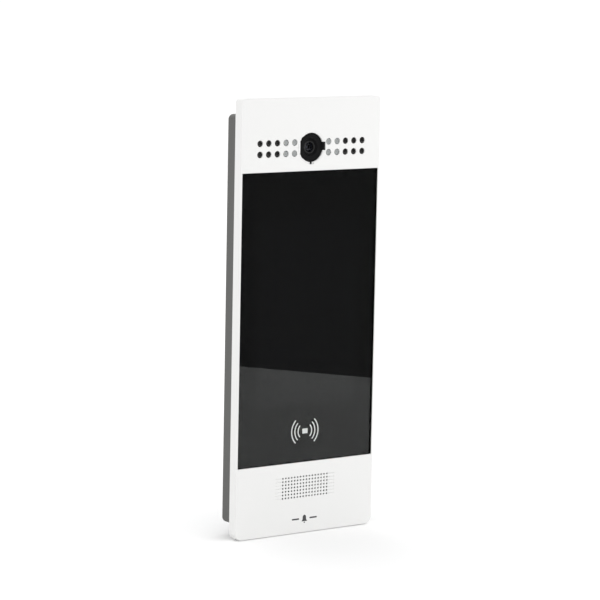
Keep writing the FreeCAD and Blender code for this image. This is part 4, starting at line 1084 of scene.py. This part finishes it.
@dataclass
class Lamps:
    """What shows inside the lamps: a silvered cup on a post, with its die, in each epoxy body."""

    cup_radius: float = 1.25
    cup_wall: float = 0.12
    cup_floor: float = 0.6
    cup_deep: float = 0.75
    cup_lip: float = 5.8
    cup_base: float = 0.3
    cup_sides: int = 20
    post: float = 0.45
    post_top: float = 0.7
    post_foot: float = 0.1
    die_foot: float = 0.5
    die_top: float = 0.42
    die_tall: float = 0.25
    die_sides: int = 16

    def build(self) -> None:
        """Makes the cores of both kinds of lamp."""
        self.cores("white_lamp_cores", "white_leds", PHOSPHOR)
        self.cores("infrared_lamp_cores", "infrared_leds", CHIP_RESIN)

    def cores(self, name: str, node: str, die: Finish) -> None:
        """Makes one piece with the core of every lamp of a node.

        Args:
            name: the piece's name.
            node: the frame's node that holds the lamps.
            die: the finish of the die in each cup.
        """
        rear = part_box(node)[1].y
        lip = rear - self.cup_lip * MM
        floor = lip + self.cup_deep * MM
        cup = [
            (self.cup_floor, floor),
            (self.cup_radius - self.cup_wall, lip),
            (self.cup_radius, lip),
            (self.cup_radius, floor + self.cup_base * MM),
            (self.post, floor + self.post_top * MM),
            (self.post, rear - self.post_foot * MM),
        ]
        crystal = [(self.die_foot, floor), (self.die_top, floor - self.die_tall * MM)]
        lamps = Sculptor(name)
        for centre in lamp_centres(node):
            lamps.loft(turned(cup, centre, self.cup_sides), NICKEL)
            lamps.loft(turned(crystal, centre, self.die_sides), die)
        lamps.piece(Body.UNIT, Slot.TINNED_CAN)


def lamp_centres(node: str) -> list[Point]:
    """The axis of each lamp of a node, from the middles of its separate solids.

    Args:
        node: the frame's node that holds the lamps.

    Returns:
        A point for each lamp; only X and Z count.
    """
    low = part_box(node)[0]
    work = bmesh.new()
    work.from_mesh(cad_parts[node].data)
    bmesh.ops.remove_doubles(work, verts=work.verts, dist=WELD_REACH)
    seen: set[int] = set()
    centres: list[Point] = []
    work.verts.ensure_lookup_table()
    for start in work.verts:
        if start.index in seen:
            continue
        group, waiting = [], [start]
        seen.add(start.index)
        while waiting:
            vert = waiting.pop()
            group.append(vert.co)
            for edge in vert.link_edges:
                other = edge.other_vert(vert)
                if other.index not in seen:
                    seen.add(other.index)
                    waiting.append(other)
        xs, zs = [p.x for p in group], [p.z for p in group]
        centres.append(((min(xs) + max(xs)) / 2, low.y, (min(zs) + max(zs)) / 2))
    work.free()
    return centres


@dataclass
class WiringBay:
    """The small parts of the network socket and the terminals, seen through the cable opening."""

    contacts: int = 8
    contact_pitch: float = 1.02
    contact_wide: float = 0.45
    contact_thick: float = 0.18
    contact_path: tuple[tuple[float, float], ...] = ((2.7, 1.5), (2.9, 4.0), (5.2, 9.5), (6.6, 11.5))
    terminals: int = 5
    terminal_pitch: float = 3.5
    first_terminal: float = 2.35
    strip_gap: float = 2.0
    screw_height: float = 11.0
    screw_radius: float = 1.1
    screw_foot: float = 2.2
    slot_floor: float = 1.4
    screw_top: float = 1.0
    slot_angle: float = 17.0
    rim_steps: int = 10

    def build(self) -> None:
        """Makes the contacts and the terminals' screws."""
        self.jack_contacts()
        self.terminal_screws()

    def jack_contacts(self) -> None:
        """Eight gold springs that slope out of the socket's floor."""
        low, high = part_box("ethernet_jack")
        springs = Sculptor("jack_contacts")
        for number in range(self.contacts):
            x = (low.x + high.x) / 2 + (number - (self.contacts - 1) / 2) * self.contact_pitch * MM
            path = [(x, high.y - depth * MM, low.z + rise * MM) for depth, rise in self.contact_path]
            springs.ribbon(path, (1.0, 0.0, 0.0), self.contact_wide, self.contact_thick, GOLD)
        springs.piece(Body.UNIT, Slot.NICKEL)

    def terminal_screws(self) -> None:
        """A slotted screw in each driver hole of the two terminal strips."""
        low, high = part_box("terminal_blocks")
        screws = Sculptor("terminal_screws")
        gap = self.strip_gap * MM
        strip = (high.x - low.x - gap) / 2
        for block in range(2):
            for number in range(self.terminals):
                along = (self.first_terminal + number * self.terminal_pitch) * MM
                x = low.x + block * (strip + gap) + along
                self.slotted_head(screws, (x, high.y, low.z + self.screw_height * MM))
        screws.piece(Body.UNIT, Slot.SCREW)

    def slotted_head(self, screws: Sculptor, hole: Point) -> None:
        """Adds a round head with a slot, made of two halves on a disc, facing the rear.

        Args:
            screws: the piece.
            hole: the middle of the driver hole's mouth, in metres.
        """
        depths = (self.screw_foot, self.slot_floor, self.screw_top)
        foot, floor, top = (hole[1] - depth * MM for depth in depths)
        disc = [(self.screw_radius, foot), (self.screw_radius, floor)]
        screws.loft(turned(disc, hole, 24), SCREW_STEEL)
        edge = math.radians(self.slot_angle)
        sweep = math.pi - 2 * edge
        for side in (0.0, math.pi):
            turns = [side + edge + sweep * step / self.rim_steps for step in range(self.rim_steps + 1)]
            half = [polar(hole, self.screw_radius, turn) for turn in turns]
            screws.loft([shifted(half, floor), shifted(half, top)], SCREW_STEEL)


@dataclass
class BoardDetail:
    """The small components of the boards and the card reader's aerial."""

    turns: int = 7
    first_turn: float = 2.0
    turn_pitch: float = 1.5
    track_wide: float = 0.7
    track_foot: float = 0.02
    track_top: float = 0.06
    track_corner: float = 1.0
    rows: int = 9
    columns: int = 6
    column_pitch: float = 6.2
    row_pitch: float = 5.4
    first_place: tuple[float, float] = (56.0, 112.0)
    scatter: tuple[float, float] = (0.8, 0.6)
    scatter_seed: int = 11
    chip_sizes: tuple[tuple[float, float], ...] = ((1.6, 0.8), (2.0, 1.25), (3.2, 1.6))
    chip_corner: float = 0.05
    end_tall: float = 0.66
    middle_tall: float = 0.6

    def build(self) -> None:
        """Makes the aerial's turns and the main board's small parts."""
        self.aerial()
        self.small_parts()

    def aerial(self) -> None:
        """Nested copper loops on the rear of the reader's board."""
        low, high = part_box("rfid_antenna_board")
        foot, top = high.y + self.track_foot * MM, high.y + self.track_top * MM
        section = ((0.0, foot), (0.0, top), (self.track_wide, top), (self.track_wide, foot))
        coil = Sculptor("aerial_tracks")
        for turn in range(self.turns):
            loops = []
            for edge, y in section:
                inset = (self.first_turn + turn * self.turn_pitch + edge) * MM
                step = Vector((inset, 0.0, inset))
                loops.append(rounded_rectangle(low + step, high - step, self.track_corner, y, 3))
            coil.loft(loops, COPPER, closed=True)
        coil.piece(Body.UNIT, Slot.BOARD)

    def small_parts(self) -> None:
        """Rows of ceramic chips with tinned ends beside the larger parts."""
        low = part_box("main_board")[0]
        places = random.Random(self.scatter_seed)
        parts = Sculptor("board_small_parts")
        for row in range(self.rows):
            for column in range(self.columns):
                aside, above = (places.uniform(-reach, reach) for reach in self.scatter)
                x = low.x + (self.first_place[0] + column * self.column_pitch + aside) * MM
                z = low.z + (self.first_place[1] + row * self.row_pitch + above) * MM
                self.chip(parts, (x, low.y, z), places.choice(self.chip_sizes))
        parts.piece(Body.UNIT, Slot.BOARD)

    def chip(self, parts: Sculptor, place: Point, size: tuple[float, float]) -> None:
        """Adds one chip: a ceramic middle between two tinned ends.

        Args:
            parts: the piece.
            place: the chip's middle on the board, in metres.
            size: its length and its width.
        """
        end, middle = (TINNED_CAN, self.end_tall), (CERAMIC_CHIP, self.middle_tall)
        for left, right, (finish, tall) in ((-0.5, -0.3, end), (-0.3, 0.3, middle), (0.3, 0.5, end)):
            low = (place[0] + left * size[0] * MM, 0.0, place[2] - size[1] / 2 * MM)
            high = (place[0] + right * size[0] * MM, 0.0, place[2] + size[1] / 2 * MM)
            outline = rounded_rectangle(low, high, self.chip_corner, 0.0, 2)
            parts.slab(outline, place[1], place[1] - tall * MM, finish)


# ---- Studio ---------------------------------------------------------------------------------


@dataclass(frozen=True)
class SoftLight:
    """A square soft light: its place and side in metres, and its power in watts."""

    name: str
    place: Point
    side: float
    power: float


@dataclass
class Studio:
    """A pale floor, soft light and the camera. Its lengths are in metres and its angles in degrees."""

    surround_colour: str = "#FFFFFF"
    surround_power: float = 1.12
    floor_tone: str = "#FCFCFC"
    floor_reach: float = 40.0
    floor_gap: float = 0.0004
    card_tone: str = "#6C6C6D"
    card_near: tuple[float, float] = (0.215, -1.038)
    card_far: tuple[float, float] = (0.743, -0.238)
    card_tall: float = 0.75
    lights: tuple[SoftLight, ...] = (
        SoftLight("key_light", (-1.9, -1.5, 0.35), 0.9, 3.2),
        SoftLight("fill_light", (1.05, -1.1, 0.08), 0.4, 2.7),
        SoftLight("rear_light", (0.6, 2.2, 1.6), 1.8, 6.0),
    )
    lens_mm: float = 158.83
    sensor_mm: float = 36.0
    distance: float = 2.168
    azimuth: float = -34.96
    elevation: float = 8.45
    roll: float = 1.15
    aim_shift: tuple[float, float] = (-0.00685, 0.01419)

    def build(self) -> None:
        """Sets up the whole studio."""
        bpy.context.scene.view_settings.view_transform = "Standard"
        self.world()
        self.floor()
        self.grey_card()
        for light in self.lights:
            self.light(light)
        self.camera()

    def world(self) -> None:
        """An even white surround."""
        world = bpy.data.worlds.new("studio_surround")
        world.use_nodes = True
        tree = world.node_tree
        tree.nodes.clear()
        even = {"Color": linear(self.surround_colour), "Strength": self.surround_power}
        glow = add_node(tree, "ShaderNodeBackground", even)
        add_node(tree, "ShaderNodeOutputWorld", {"Surface": glow.outputs[0]})
        bpy.context.scene.world = world

    def flat(self, name: str, corners: list[Point], finish: Finish) -> bpy.types.Object:
        """Makes a single-sided sheet of the stage.

        Args:
            name: the sheet's name.
            corners: its corners, in metres, in order round its edge.
            finish: its finish.

        Returns:
            The new object.
        """
        data = bpy.data.meshes.new(name)
        data.from_pydata(corners, [], [tuple(range(len(corners)))])
        data.materials.append(finish.material())
        thing = bpy.data.objects.new(name, data)
        bpy.context.scene.collection.objects.link(thing)
        return thing

    def floor(self) -> None:
        """The floor, just under the unit's lower edge."""
        reach, level = self.floor_reach, CAD_BOX[0].z - self.floor_gap
        corners = [(x * reach, y * reach, level) for x, y in ((-1, -1), (1, -1), (1, 1), (-1, 1))]
        paint = Finish("matt_studio_floor", self.floor_tone, 0.9, grain_mm=60.0, mottle=0.004)
        self.flat("floor", corners, paint)

    def grey_card(self) -> None:
        """A grey card outside the view: only mirror-like faces see it, as the upper glass does."""
        low = CAD_BOX[0].z
        high = low + self.card_tall
        near, far = self.card_near, self.card_far
        corners = [(*near, low), (*far, low), (*far, high), (*near, high)]
        flock = Finish("grey_flocked_card", self.card_tone, 1.0, ior=1.0, mottle=0.02)
        card = self.flat("dark_card", corners, flock)
        for kind in ("camera", "diffuse", "shadow", "volume_scatter"):
            setattr(card, "visible_" + kind, False)

    def light(self, light: SoftLight) -> None:
        """Hangs a soft light so that it faces the unit.

        Args:
            light: the light.
        """
        data = bpy.data.lights.new(light.name, "AREA")
        data.shape = "SQUARE"
        data.size = light.side
        data.energy = light.power
        lamp = bpy.data.objects.new(light.name, data)
        lamp.location = light.place
        lamp.rotation_euler = (-Vector(light.place)).to_track_quat("-Z", "Y").to_euler()
        bpy.context.scene.collection.objects.link(lamp)

    def camera(self) -> None:
        """The camera: left of the unit's front, a little above it, slightly rolled."""
        low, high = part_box("cover_glass")
        target = Vector(((low.x + high.x) / 2, low.y, (low.z + high.z) / 2))
        turn, lift = math.radians(self.azimuth), math.radians(self.elevation)
        back = Vector((math.sin(turn) * math.cos(lift), -math.cos(turn) * math.cos(lift), math.sin(lift)))
        place = target + back * self.distance
        level = Matrix.Rotation(math.radians(self.roll), 3, back)
        right = level @ Vector((0, 0, 1)).cross(back).normalized()
        up = back.cross(right)
        aim = target + right * self.aim_shift[0] + up * self.aim_shift[1]
        forward = (aim - place).normalized()
        right = forward.cross(up).normalized()
        up = right.cross(forward)
        data = bpy.data.cameras.new("camera")
        data.lens = self.lens_mm
        data.sensor_width = self.sensor_mm
        camera = bpy.data.objects.new("camera", data)
        axes = Matrix((right, up, -forward)).transposed().to_4x4()
        camera.matrix_world = Matrix.Translation(place) @ axes
        bpy.context.scene.collection.objects.link(camera)
        bpy.context.scene.camera = camera


def dress_nodes() -> None:
    """Gives every node of the frame the finish of its real material."""
    for name, finish in NODE_FINISHES.items():
        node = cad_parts[name]
        node.data.materials.clear()
        node.data.materials.append(finish.material())
        LOG.info("%s: %s", name, finish.name)


def main() -> None:
    """Builds every piece in order, then the studio."""
    logging.basicConfig(level=logging.INFO, format="%(name)s %(message)s")
    dress_nodes()
    for assembly in (CoverGlass(), DoorbellMark(), CameraOptics(), Lamps(), WiringBay(), BoardDetail()):
        assembly.build()
    Studio().build()


if __name__ == "__main__":
    main()
